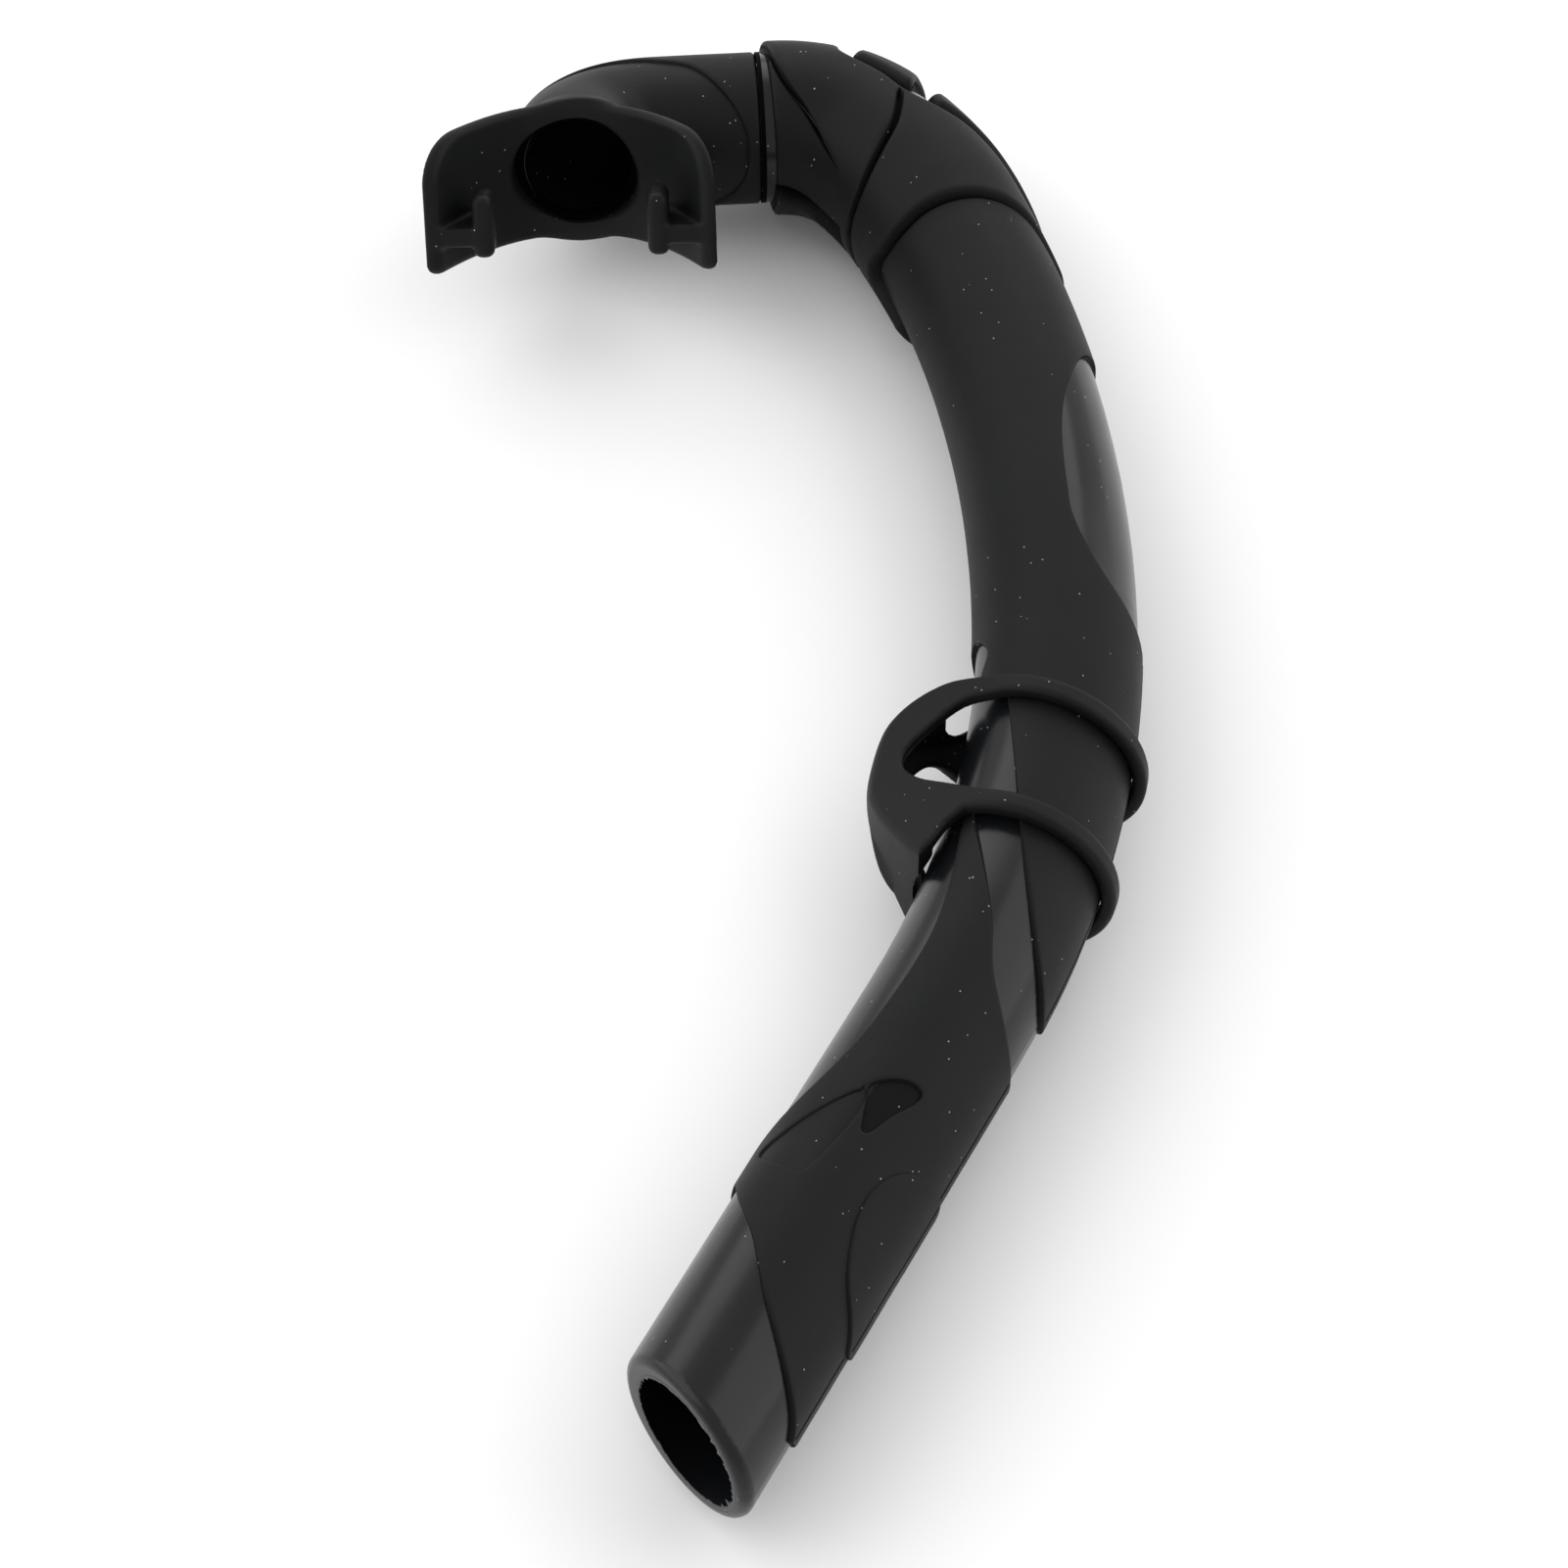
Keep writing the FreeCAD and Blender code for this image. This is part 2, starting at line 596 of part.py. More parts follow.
def teardrop(radius, nose_reach, nose_round):
    """Closed section: a circle round the barrel drawn out to a rounded nose on the inner side (-X)."""
    hub = -(nose_reach - nose_round)
    lean = math.acos((radius - nose_round) / -hub)
    big = Vector(-math.cos(lean) * radius, math.sin(lean) * radius, 0)
    small = Vector(hub - math.cos(lean) * nose_round, math.sin(lean) * nose_round, 0)

    def flip(v):
        return Vector(v.x, -v.y, 0)

    return Part.Wire([
        Part.Arc(big, Vector(radius, 0, 0), flip(big)).toShape(),
        Part.LineSegment(flip(big), flip(small)).toShape(),
        Part.Arc(flip(small), Vector(-nose_reach, 0, 0), small).toShape(),
        Part.LineSegment(small, big).toShape()])


def smooth_face(points, corners):
    """A face bounded by one smooth curve through the points and straight sides through the corners."""
    curve = Part.BSplineCurve()
    curve.interpolate(points)
    chain = [points[-1]] + corners + [points[0]]
    sides = [Part.LineSegment(a, b).toShape() for a, b in zip(chain, chain[1:])]
    return Part.Face(Part.Wire([curve.toShape()] + sides))


def make_keeper():
    """Soft keeper: two rings round the barrel joined by a nose, with a slot for the mask strap."""
    bore, wall = size("keeper_bore"), size("keeper_wall")
    nose, tip = size("keeper_nose_reach"), size("keeper_nose_round")
    half, ring = size("keeper_half_length"), size("keeper_ring_width")
    slope = math.tan(math.radians(size("keeper_slant")))
    tall = 60.0

    def block(wire):
        face = Part.Face(wire)
        face.translate(Vector(0, 0, -tall / 2.0))
        return face.extrude(Vector(0, 0, tall))

    # local frame: Z along the barrel, X to its outer side, so a side view is drawn in X and Z
    def side_view(points, corners):
        lifted = [Vector(x, -tall / 2.0, z) for x, z in points]
        around = [Vector(x, -tall / 2.0, z) for x, z in corners]
        return smooth_face(lifted, around).extrude(Vector(0, tall, 0))

    outer = block(teardrop(bore + wall, nose, tip))
    inner = block(teardrop(bore, nose - wall, tip - wall))
    fin = [(-12.0, -half - 12.0 * slope), (-18.0, -half - 2.0), (-23.4, -half + 0.6), (-26.8, -9.0),
           (-27.6, -2.0), (-26.9, 5.0), (-23.5, 13.0), (-18.5, 20.5), (-14.8, 24.6)]
    ends = [(-12.6, 20.5), (-11.4, 16.0), (-9.0, half - 9.0 * slope), (30.0, half + 30.0 * slope),
            (30.0, -half + 30.0 * slope)]
    gap = half - ring
    window = [(-8.0, -gap - 8.0 * slope), (-14.0, -gap - 0.9), (-19.2, -6.6), (-21.6, -3.0), (-21.4, 0.2),
              (-18.6, 3.4), (-13.0, 6.4), (-7.0, gap - 7.0 * slope)]
    slot_ends = [(30.0, gap + 30.0 * slope), (30.0, -gap + 30.0 * slope)]
    body = outer.common(side_view(fin, ends)).cut(inner).cut(side_view(window, slot_ends))

    # below the nose the same shape is turned over, so the web runs the other way along the barrel
    over = body.copy()
    over.rotate(Vector(0, 0, 0), X_AXIS, 180.0)
    below = Part.makeBox(60, 60, 120, Vector(-60, -60, -60))
    body = body.cut(below).fuse(over.common(below))
    place = across(size("keeper_station"))
    bend = size("temple_bend_radius")
    ring_core = Part.makeTorus(bend, bore, Vector(-bend, 0, 0), Vector(0, 1, 0))
    body = body.cut(ring_core)
    keeper = stored("keeper", body.removeSplitter())
    keeper.Placement = place
    return keeper


# ---------------------------------------------------------------- build, lift, check, write

def main():
    frame = swivel_frame()
    nodes = {"barrel": make_barrel()}
    nodes.update(make_skins())
    nodes["swivel_elbow"] = make_elbow(frame)
    nodes["elbow_cover"] = make_cover(frame)
    nodes["mouthpiece"] = make_mouthpiece(frame)
    nodes["keeper"] = make_keeper()
    doc.recompute()
    lift = Placement(Vector(size("shift_x"), size("shift_y"), size("lift")), Rotation())
    whole = FreeCAD.BoundBox()
    for name, node in nodes.items():
        node.Label = name
        node.Placement = lift.multiply(node.Placement)
    doc.recompute()
    for thing in doc.Objects:
        if "Invalid" in thing.State or "Error" in thing.State:
            raise RuntimeError(f"{thing.Name} failed: {thing.State}")
    for name, node in nodes.items():
        shape = node.Shape
        if shape.isNull() or not shape.isValid() or not shape.Solids:
            raise RuntimeError(f"{name} is not a valid solid")
        whole.add(shape.BoundBox)
        print(name, "solids", len(shape.Solids), "volume", round(shape.Volume, 1))
        shape.exportStep(f"parts/{name}.step")
    print("box", whole)


main()
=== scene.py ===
import math
import random

import bmesh
import bpy
import numpy as np
from mathutils import Matrix, Vector, noise
from mathutils.geometry import delaunay_2d_cdt


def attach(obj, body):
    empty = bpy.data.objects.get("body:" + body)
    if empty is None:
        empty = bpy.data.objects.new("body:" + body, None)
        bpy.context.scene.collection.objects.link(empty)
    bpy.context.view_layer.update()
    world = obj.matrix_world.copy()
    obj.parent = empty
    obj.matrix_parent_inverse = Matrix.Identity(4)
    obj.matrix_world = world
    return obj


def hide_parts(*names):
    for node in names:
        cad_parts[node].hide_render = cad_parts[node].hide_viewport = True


# Looks for a snorkel lying on its side: a gloss barrel under soft moulded skins, a swivelling
# mouthpiece and a soft keeper. Shapes are worked out in millimetres and written in metres.

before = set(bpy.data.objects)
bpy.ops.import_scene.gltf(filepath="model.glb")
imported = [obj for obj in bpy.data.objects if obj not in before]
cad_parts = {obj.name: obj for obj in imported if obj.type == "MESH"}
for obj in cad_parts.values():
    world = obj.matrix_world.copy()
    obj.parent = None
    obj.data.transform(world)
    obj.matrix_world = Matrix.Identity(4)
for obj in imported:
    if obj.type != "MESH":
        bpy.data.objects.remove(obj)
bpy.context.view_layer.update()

MM = 0.001
random.seed(7)

# ---------------------------------------------------------------- the barrel's centreline

SHIFT = Vector((1.889, -17.011, 16.65))
SHOULDER = (-4.3, 152.8)
START_HEADING = math.radians(4.0)
BENDS = ((21.5, 50.1), (60.3, 22.8), (246.0, 22.0), (189.5, 26.1))
NECK_LENGTH = 2.8
TOP_LENGTH = 84.6
BARREL_R = 13.2
BORE_R = 10.4
SKIN_R = 14.0


def lay_runs():
    """Runs of the centreline: first station, curvature, and the place and heading where each starts."""
    plan = [(NECK_LENGTH, 0.0)] + [(r * math.radians(a), -1.0 / r) for r, a in BENDS] + [(TOP_LENGTH, 0.0)]
    x, y = SHOULDER
    heading, station, runs = START_HEADING, 0.0, []
    for length, bend in plan:
        runs.append((station, bend, x, y, heading))
        turn = bend * length
        chord = length if not bend else 2.0 * math.sin(turn / 2.0) / bend
        x += chord * math.cos(heading + turn / 2.0)
        y += chord * math.sin(heading + turn / 2.0)
        heading += turn
        station += length
    return runs, station


RUNS, BARREL_LENGTH = lay_runs()


def centre(station):
    """Point on the centreline (mm, row frame) and heading at a station."""
    run = next((r for r in reversed(RUNS) if station >= r[0]), RUNS[0])
    first, bend, x, y, heading = run
    along = station - first
    turn = bend * along
    chord = along if not bend else 2.0 * math.sin(turn / 2.0) / bend
    mid = heading + turn / 2.0
    return Vector((x + chord * math.cos(mid), y + chord * math.sin(mid), 0.0)) + SHIFT, heading + turn


def on_barrel(station, angle, radius):
    """Angle 0 is the outside of the curve, 90 the top, 180 the inside. Degrees and mm."""
    point, heading = centre(station)
    a = math.radians(angle)
    outward = Vector((-math.sin(heading), math.cos(heading), 0.0))
    return point + outward * (math.cos(a) * radius) + Vector((0, 0, math.sin(a) * radius))


# ---------------------------------------------------------------- the elbow's own frame

ELBOW_RADIUS = 14.0
ELBOW_REACH = 32.6
MOUTH_TURN = math.radians(24.0)


def elbow_matrix():
    """Origin on the swivel axis at the shoulder, X away from the barrel, Y the way the mouth points."""
    point, heading = centre(0.0)
    away = Vector((-math.cos(heading), -math.sin(heading), 0.0))
    level = Vector((math.sin(heading), -math.cos(heading), 0.0))
    mouth = level * math.cos(MOUTH_TURN) + Vector((0, 0, math.sin(MOUTH_TURN)))
    third = away.cross(mouth)
    m = Matrix((away, mouth, third)).transposed().to_4x4()
    m.translation = point
    return m


ELBOW = elbow_matrix()


def on_elbow(along, angle, radius):
    """Angle 0 is the outside of the elbow, 180 the side the mouth is on; along starts at the shoulder."""
    lead = ELBOW_REACH - ELBOW_RADIUS
    turn = min(max((along - lead) / ELBOW_RADIUS, 0.0), math.pi / 2.0)
    hub = Vector((lead, ELBOW_RADIUS, 0.0))
    ahead = Vector((math.cos(turn), math.sin(turn), 0.0))
    outward = Vector((math.sin(turn), -math.cos(turn), 0.0))
    spare = along - lead - turn * ELBOW_RADIUS
    point = hub + outward * ELBOW_RADIUS + ahead * spare
    a = math.radians(angle)
    return ELBOW @ (point + outward * (math.cos(a) * radius) + Vector((0, 0, math.sin(a) * radius)))


# ---------------------------------------------------------------- meshes

def add_piece(name, points, faces, material, body, replaces=(), sharp=38.0):
    """A mesh object from points in mm, riding on a body."""
    mesh = bpy.data.meshes.new(name)
    mesh.from_pydata([tuple(Vector(p) * MM) for p in points], [], faces)
    mesh.validate()
    bm = bmesh.new()
    bm.from_mesh(mesh)
    bmesh.ops.remove_doubles(bm, verts=bm.verts, dist=0.002 * MM)
    bmesh.ops.recalc_face_normals(bm, faces=bm.faces)
    bm.to_mesh(mesh)
    bm.free()
    mesh.shade_smooth()
    mesh.set_sharp_from_angle(angle=math.radians(sharp))
    mesh.materials.append(material)
    piece = bpy.data.objects.new(name, mesh)
    bpy.context.scene.collection.objects.link(piece)
    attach(piece, body)
    if replaces:
        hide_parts(*replaces)
    return piece


# ---------------------------------------------------------------- skins drawn on a tube

FLAT_R = 14.0          # the radius at which a skin's outline is drawn flat
STEP = 0.5             # spacing along an outline
RINGS = (0.1, 0.28, 0.55, 0.95, 1.6)
GRID = 1.15


def smooth(points, closed=False):
    """Points along a smooth line through the given (station, angle) points, in mm by mm."""
    return curve([Vector((s, math.radians(a) * FLAT_R)) for s, a in points], closed)


def curve(flat, closed=False, step=STEP):
    """Points about every step along a smooth line through points in a plane."""
    if len(flat) == 2:
        count = max(1, round((flat[1] - flat[0]).length / step))
        return [flat[0].lerp(flat[1], i / count) for i in range(count)] + [flat[1]]
    n = len(flat)
    line = []
    for i in range(n if closed else n - 1):
        p1, p2 = flat[i], flat[(i + 1) % n]
        p0 = flat[i - 1] if (closed or i > 0) else p1 * 2 - p2
        p3 = flat[(i + 2) % n] if (closed or i + 2 < n) else p2 * 2 - p1
        t01, t12, t23 = (math.sqrt(max((b - a).length, 1e-6)) for a, b in ((p0, p1), (p1, p2), (p2, p3)))
        m1 = (p2 - p1) + ((p1 - p0) / t01 - (p2 - p0) / (t01 + t12)) * t12
        m2 = (p2 - p1) + ((p3 - p2) / t23 - (p3 - p1) / (t12 + t23)) * t12
        count = max(1, round((p2 - p1).length / step))
        for k in range(count):
            t = k / count
            line.append(p1 * (2 * t ** 3 - 3 * t ** 2 + 1) + m1 * (t ** 3 - 2 * t ** 2 + t)
                        + p2 * (3 * t ** 2 - 2 * t ** 3) + m2 * (t ** 3 - t ** 2))
    if not closed:
        line.append(flat[-1])
    return line


def inside(points, loop):
    """Which of the points are inside a closed loop."""
    x, y = points[:, 0], points[:, 1]
    hit = np.zeros(len(points), bool)
    for (x0, y0), (x1, y1) in zip(loop, np.roll(loop, -1, axis=0)):
        crosses = (y0 > y) != (y1 > y)
        if y1 != y0:
            hit ^= crosses & (x < x0 + (y - y0) * (x1 - x0) / (y1 - y0))
    return hit


def gap_to(points, starts, ends):
    """Distance from each point to the nearest of the segments."""
    best = np.full(len(points), 1e9)
    for a, b in zip(starts, ends):
        ab = b - a
        t = np.clip(((points - a) @ ab) / max(ab @ ab, 1e-12), 0, 1)
        best = np.minimum(best, np.hypot(*(points - a - t[:, None] * ab).T))
    return best


def skin(name, outline, top, material, holes=(), base=BARREL_R, edge=0.8, inset=0.16, place=on_barrel,
         body="tube", replaces=(), wave=0.05):
    """A soft skin moulded onto a tube, with rounded edges. The outline is a list of stretches of
    (station, angle) points, each with a flag that says whether it is a real edge or the joint where
    the skin meets itself round the back. top(station, angle) is its outer radius."""
    loops = []
    for stretches in [outline] + [[(hole, True)] for hole in holes]:
        loop, real = [], []
        for i, (points, is_edge) in enumerate(stretches):
            line = smooth(points)
            if len(stretches) == 1 and points[0] == points[-1]:
                line = smooth(points[:-1], closed=True) + [None]
            loop += [tuple(p) for p in line[:-1]]
            real += [is_edge] * (len(line) - 1)
        loops.append((np.array(loop), real))
    if inset:
        for k, (loop, real) in enumerate(loops):
            area = np.sum(loop[:, 0] * np.roll(loop[:, 1], -1) - np.roll(loop[:, 0], -1) * loop[:, 1])
            sign = (1 if area > 0 else -1) * (1 if k == 0 else -1)
            before, after = np.roll(loop, 1, axis=0), np.roll(loop, -1, axis=0)
            along = after - before
            along /= np.maximum(np.hypot(*along.T), 1e-9)[:, None]
            normal = np.stack([-along[:, 1], along[:, 0]], 1) * sign
            free = np.array([real[i] and real[i - 1] for i in range(len(real))])
            half = np.array([real[i] != real[i - 1] for i in range(len(real))])
            moved = loop + normal * inset * free[:, None]
            for i in np.nonzero(half)[0]:
                side = loop[i - 1] if real[i - 1] else loop[(i + 1) % len(loop)]
                slide = loop[(i + 1) % len(loop)] if real[i - 1] else loop[i - 1]
                push = slide - loop[i]
                moved[i] = loop[i] + push / max(np.hypot(*push), 1e-9) * min(inset, np.hypot(*push) * 0.5)
            loops[k] = (moved, real)

    starts, ends = [], []
    for loop, real in loops:
        for i, flag in enumerate(real):
            if flag:
                starts.append(loop[i])
                ends.append(loop[(i + 1) % len(loop)])
    outer = loops[0][0]

    def within(points):
        keep = inside(points, outer)
        for hole, _ in loops[1:]:
            keep &= ~inside(points, hole)
        return keep

    verts = np.concatenate([loop for loop, _ in loops])
    edges, base_index = [], 0
    for loop, _ in loops:
        n = len(loop)
        edges += [(base_index + i, base_index + (i + 1) % n) for i in range(n)]
        base_index += n
    extra = []
    for k, (loop, real) in enumerate(loops):
        mids = (loop + np.roll(loop, -1, axis=0)) / 2
        along = np.roll(loop, -1, axis=0) - loop
        along /= np.maximum(np.hypot(*along.T), 1e-9)[:, None]
        normal = np.stack([-along[:, 1], along[:, 0]], 1)
        for depth in RINGS:
            for way in (1, -1):
                ring = (mids + normal * depth * way)[np.array(real)]
                extra.append(ring[within(ring) & (gap_to(ring, starts, ends) > depth * 0.93)])
    low, high = outer.min(0), outer.max(0)
    grid = np.array([(x + (GRID / 2 if j % 2 else 0), y)
                     for j, y in enumerate(np.arange(low[1] + 0.4, high[1], GRID * 0.8))
                     for x in np.arange(low[0], high[0], GRID)]).reshape(-1, 2)
    grid = grid[within(grid)]
    grid = grid[gap_to(grid, starts, ends) > RINGS[-1] + 0.35]
    cuts = np.array([s for loop, real in loops for s, flag in zip(loop, real) if not flag]).reshape(-1, 2)
    if len(cuts):
        apart = grid[:, None, :2] - cuts[None, :, :2]
        near = np.min(np.hypot(apart[..., 0], apart[..., 1]), axis=1)
        grid = grid[near > 0.45]
    extra.append(grid)
    points = np.concatenate([verts] + extra)
    got = delaunay_2d_cdt([Vector(p) for p in points], edges, [], 0, 1e-5)
    flat = np.array([tuple(p) for p in got[0]])
    faces = [f for f in got[2]]
    middles = np.array([flat[list(f)].mean(0) for f in faces])
    keep = within(middles)
    faces = [f for f, k in zip(faces, keep) if k]
    used = sorted({i for f in faces for i in f})
    renumber = {old: new for new, old in enumerate(used)}
    faces = [tuple(renumber[i] for i in f) for f in faces]
    flat = flat[used]
    depth = gap_to(flat, starts, ends)
    depth[depth < 1e-3] = 0.0
    upper, lower = [], []
    for (s, w), d in zip(flat, depth):
        angle = math.degrees(w / FLAT_R)
        full = top(s, angle) - base
        t = min(d / edge, 1.0)
        rise = math.sqrt(max(1.0 - (1.0 - t) ** 2, 0.0))
        around = math.radians(angle)
        ripple = noise.noise(Vector((s * 0.09, math.cos(around) * 1.3, math.sin(around) * 1.3))) * wave
        upper.append(place(s, angle, base + full * rise + ripple * t))
        lower.append(place(s, angle, base - 0.15))
    n = len(flat)
    solid = list(faces) + [tuple(n + i for i in reversed(f)) for f in faces]
    rim = {}
    for f in faces:
        for a, b in zip(f, f[1:] + f[:1]):
            rim[(a, b)] = True
    for a, b in rim:
        if (b, a) not in rim and depth[a] == 0.0 and depth[b] == 0.0:
            solid.append((b, a, n + a, n + b))
    return add_piece(name, upper + lower, solid, material, body, replaces)


# ---------------------------------------------------------------- blended solids from a field

def polygonise(field, low, high, cell):
    """Closed mesh of the surface where the field is zero, moved onto it once more at the end."""
    axes = [np.arange(a, b + cell, cell) for a, b in zip(low, high)]
    grid = np.meshgrid(*axes, indexing="ij")
    value = field(*grid)
    solid = value < 0
    shape = tuple(n - 1 for n in value.shape)
    corners = [(i, j, k) for i in (0, 1) for j in (0, 1) for k in (0, 1)]

    def at(array, c):
        return array[c[0]:c[0] + shape[0], c[1]:c[1] + shape[1], c[2]:c[2] + shape[2]]

    total = np.zeros(shape + (3,))
    hits = np.zeros(shape)
    for a in corners:
        for axis in range(3):
            if a[axis]:
                continue
            b = tuple(v + (1 if i == axis else 0) for i, v in enumerate(a))
            va, vb = at(value, a), at(value, b)
            cross = (va < 0) != (vb < 0)
            t = np.where(cross, va / np.where(cross, va - vb, 1.0), 0.0)
            for i in range(3):
                total[..., i] += np.where(cross, a[i] + (t if i == axis else 0.0), 0.0)
            hits += cross
    active = hits > 0
    index = np.full(shape, -1)
    index[active] = np.arange(active.sum())
    cells = np.argwhere(active)
    points = np.array(low) + (cells + total[active] / hits[active][:, None]) * cell
    faces = []
    for axis in range(3):
        u, v = (axis + 1) % 3, (axis + 2) % 3
        step = [0, 0, 0]
        step[axis] = 1
        here = solid[tuple(slice(0, n) for n in shape)]
        there = solid[tuple(slice(s, n + s) for s, n in zip(step, shape))]
        where = np.argwhere(here != there)
        where = where[(where[:, u] > 0) & (where[:, v] > 0)]
        du, dv = np.zeros(3, int), np.zeros(3, int)
        du[u], dv[v] = 1, 1
        quad = [index[tuple((where - du - dv).T)], index[tuple((where - dv).T)],
                index[tuple(where.T)], index[tuple((where - du).T)]]
        flip = ~here[tuple(where.T)]
        block = np.stack(quad, 1)
        block[flip] = block[flip][:, ::-1]
        faces.append(block)
    faces = np.concatenate(faces)
    faces = faces[(faces >= 0).all(1)]
    for _ in range(2):
        small = 0.05
        here = field(*points.T)
        slope = np.stack([(field(*(points + np.eye(3)[i] * small).T) - here) / small for i in range(3)], 1)
        length = np.maximum((slope ** 2).sum(1), 0.05)
        move = slope * (here / length)[:, None]
        size = np.hypot(np.hypot(move[:, 0], move[:, 1]), move[:, 2])
        points = points - move * np.minimum(1.0, 0.5 * cell / np.maximum(size, 1e-9))[:, None]
    return points, [tuple(int(i) for i in f) for f in faces]


def blend_min(a, b, reach):
    """Union of two fields with a fillet."""
    h = np.clip(0.5 + 0.5 * (b - a) / reach, 0, 1)
    return b * (1 - h) + a * h - reach * h * (1 - h)


def blend_max(a, b, reach):
    """Common part of two fields with a rounded edge."""
    return -blend_min(-a, -b, reach)


def rounded(a, b, radius):
    """Common part of two fields with an edge rounded to a true radius."""
    p, q = np.maximum(a + radius, 0), np.maximum(b + radius, 0)
    return np.hypot(p, q) + np.minimum(np.maximum(a, b) + radius, 0) - radius


def box_field(x, y, z, middle, half, radius):
    p = [np.abs(c - m) - h + radius for c, m, h in zip((x, y, z), middle, half)]
    outer = np.sqrt(sum(np.maximum(c, 0) ** 2 for c in p))
    return outer + np.minimum(np.maximum(np.maximum(p[0], p[1]), p[2]), 0) - radius


def plane_distance(line, low, high, closed):
    """A function of x and y: distance in the plane to a line of points. It is negative inside a closed
    line, and on the right-hand side of an open one."""
    pitch = 0.2
    xs, ys = np.arange(low[0], high[0] + pitch, pitch), np.arange(low[1], high[1] + pitch, pitch)
    gx, gy = np.meshgrid(xs, ys, indexing="ij")
    places = np.stack([gx.ravel(), gy.ravel()], 1)
    line = np.array(line, float)
    best = np.full(len(places), 1e9)
    side = np.ones(len(places))
    for a, b in zip(line, line[1:]):
        ab = b - a
        t = np.clip(((places - a) @ ab) / (ab @ ab), 0, 1)
        off = places - a - t[:, None] * ab
        d = np.hypot(*off.T)
        nearer = d < best
        best = np.where(nearer, d, best)
        side = np.where(nearer, np.where(ab[0] * off[:, 1] - ab[1] * off[:, 0] > 0, 1.0, -1.0), side)
    if closed:
        side = np.where(inside(places, line), -1.0, 1.0)
    table = (best * side).reshape(gx.shape)

    def look_up(x, y):
        u = np.clip((x - low[0]) / pitch, 0, len(xs) - 1.001)
        v = np.clip((y - low[1]) / pitch, 0, len(ys) - 1.001)
        i, j = u.astype(int), v.astype(int)
        u, v = u - i, v - j
        return ((table[i, j] * (1 - u) + table[i + 1, j] * u) * (1 - v)
                + (table[i, j + 1] * (1 - u) + table[i + 1, j + 1] * u) * v)

    return look_up


def mouth_field(x, y, z):
    """The mouthpiece in the elbow's frame: neck, flange with a bore, bite tabs and lugs."""
    lead = ELBOW_REACH - ELBOW_RADIUS
    hub_x, hub_y = lead, ELBOW_RADIUS
    rx, ry = x - hub_x, y - hub_y
    turn = np.clip(np.arctan2(rx, -ry), 0.0, math.pi / 2)
    px, py = hub_x + np.sin(turn) * ELBOW_RADIUS, hub_y - np.cos(turn) * ELBOW_RADIUS
    ahead_x, ahead_y = np.cos(turn), np.sin(turn)
    spare = (x - px) * ahead_x + (y - py) * ahead_y
    off = (x - px) * np.sin(turn) - (y - py) * np.cos(turn)
    radial = np.hypot(off, z)
    along = turn * ELBOW_RADIUS + spare
    swell = np.clip((along - 8.0) / 14.0, 0, 1)
    grow = 0.3 * swell * swell * (3 - 2 * swell)
    neck = radial - (12.78 + grow)
    neck = rounded(neck, -(along + 15.9), 0.12)
    neck = rounded(neck, along - 26.0, 0.4)

    w, m = in_flange(x, y)
    sheet = np.abs(off_flange(w, m) - FLANGE_WALL / 2) - FLANGE_WALL / 2
    upright = z - FLANGE_RISE
    corner = np.where(upright > 0, 8.0, 2.0)
    rim_x, rim_y = np.abs(upright) - (FLANGE_HEIGHT / 2 - corner), m - (FLANGE_DEPTH - corner)
    rim = (np.hypot(np.maximum(rim_x, 0), np.maximum(rim_y, 0))
           + np.minimum(np.maximum(rim_x, rim_y), 0) - corner)
    flange = rounded(sheet, rim, 1.15)
    solid = blend_min(neck, flange, 1.8)

    for sign in (-1, 1):
        wing = sign * (FLANGE_WIDTH / 2 - 1.6)
        tab = box_field(w, m, z, (wing - sign * 4.4, FLANGE_DEPTH - 6.4, -5.4), (4.8, 6.2, 1.7), 0.8)
        lug_x = sign * (FLANGE_WIDTH / 2 - 1.2 - TAB_WIDTH)
        lug = box_field(w, m, z, (lug_x, FLANGE_DEPTH - 3.4, -3.6), (1.85, 3.4, 5.6), 1.5)
        grip = blend_min(tab, lug, 0.9)
        solid = blend_min(solid, grip, 1.0)

    oval_w, oval_z = (w - 0.1 * z) / (BORE_WIDTH / 2), z / (BORE_HEIGHT / 2)
    oval = (np.hypot(oval_w, oval_z) - 1.0) * (BORE_HEIGHT / 2) * 0.96
    hole = np.maximum(oval, -(y - 11.5))
    inner = radial - 11.75 + 2.25 * np.clip((along - 10.0) / 2.0, 0, 1)
    hole = blend_min(hole, inner, 1.0)
    return blend_max(solid, -hole, 0.55)


MOUTH_REACH = 16.5
FLANGE_WIDTH = 51.2
FLANGE_HEIGHT = 24.1
FLANGE_RISE = -0.15
FLANGE_TURN = math.radians(5.0)
FLANGE_SHIFT = 0.6
FLANGE_DEPTH = 21.5
FLANGE_SWEEP = 2.27
FLANGE_WALL = 2.4
TAB_WIDTH = 9.3
BORE_WIDTH = 21.5
BORE_HEIGHT = 18.3


def in_flange(x, y):
    """The flange's own axes: width and depth, turned a little outwards from the elbow's."""
    dx, dy = x - ELBOW_REACH - FLANGE_SHIFT, y - (MOUTH_REACH - 0.6)
    c, s = math.cos(FLANGE_TURN), math.sin(FLANGE_TURN)
    return dx * c - dy * s, dx * s + dy * c


def flange_line(count=30):
    """The flange's back face seen from above, from a little past one wing tip to past the other."""
    half, past = FLANGE_WIDTH / 2, 1.06
    shares = [past * i / count for i in range(-count, count + 1)]
    return [(half * k, FLANGE_DEPTH * abs(k) ** FLANGE_SWEEP) for k in shares]


off_flange = plane_distance(flange_line(), (-36.0, -34.0), (36.0, 32.0), closed=False)

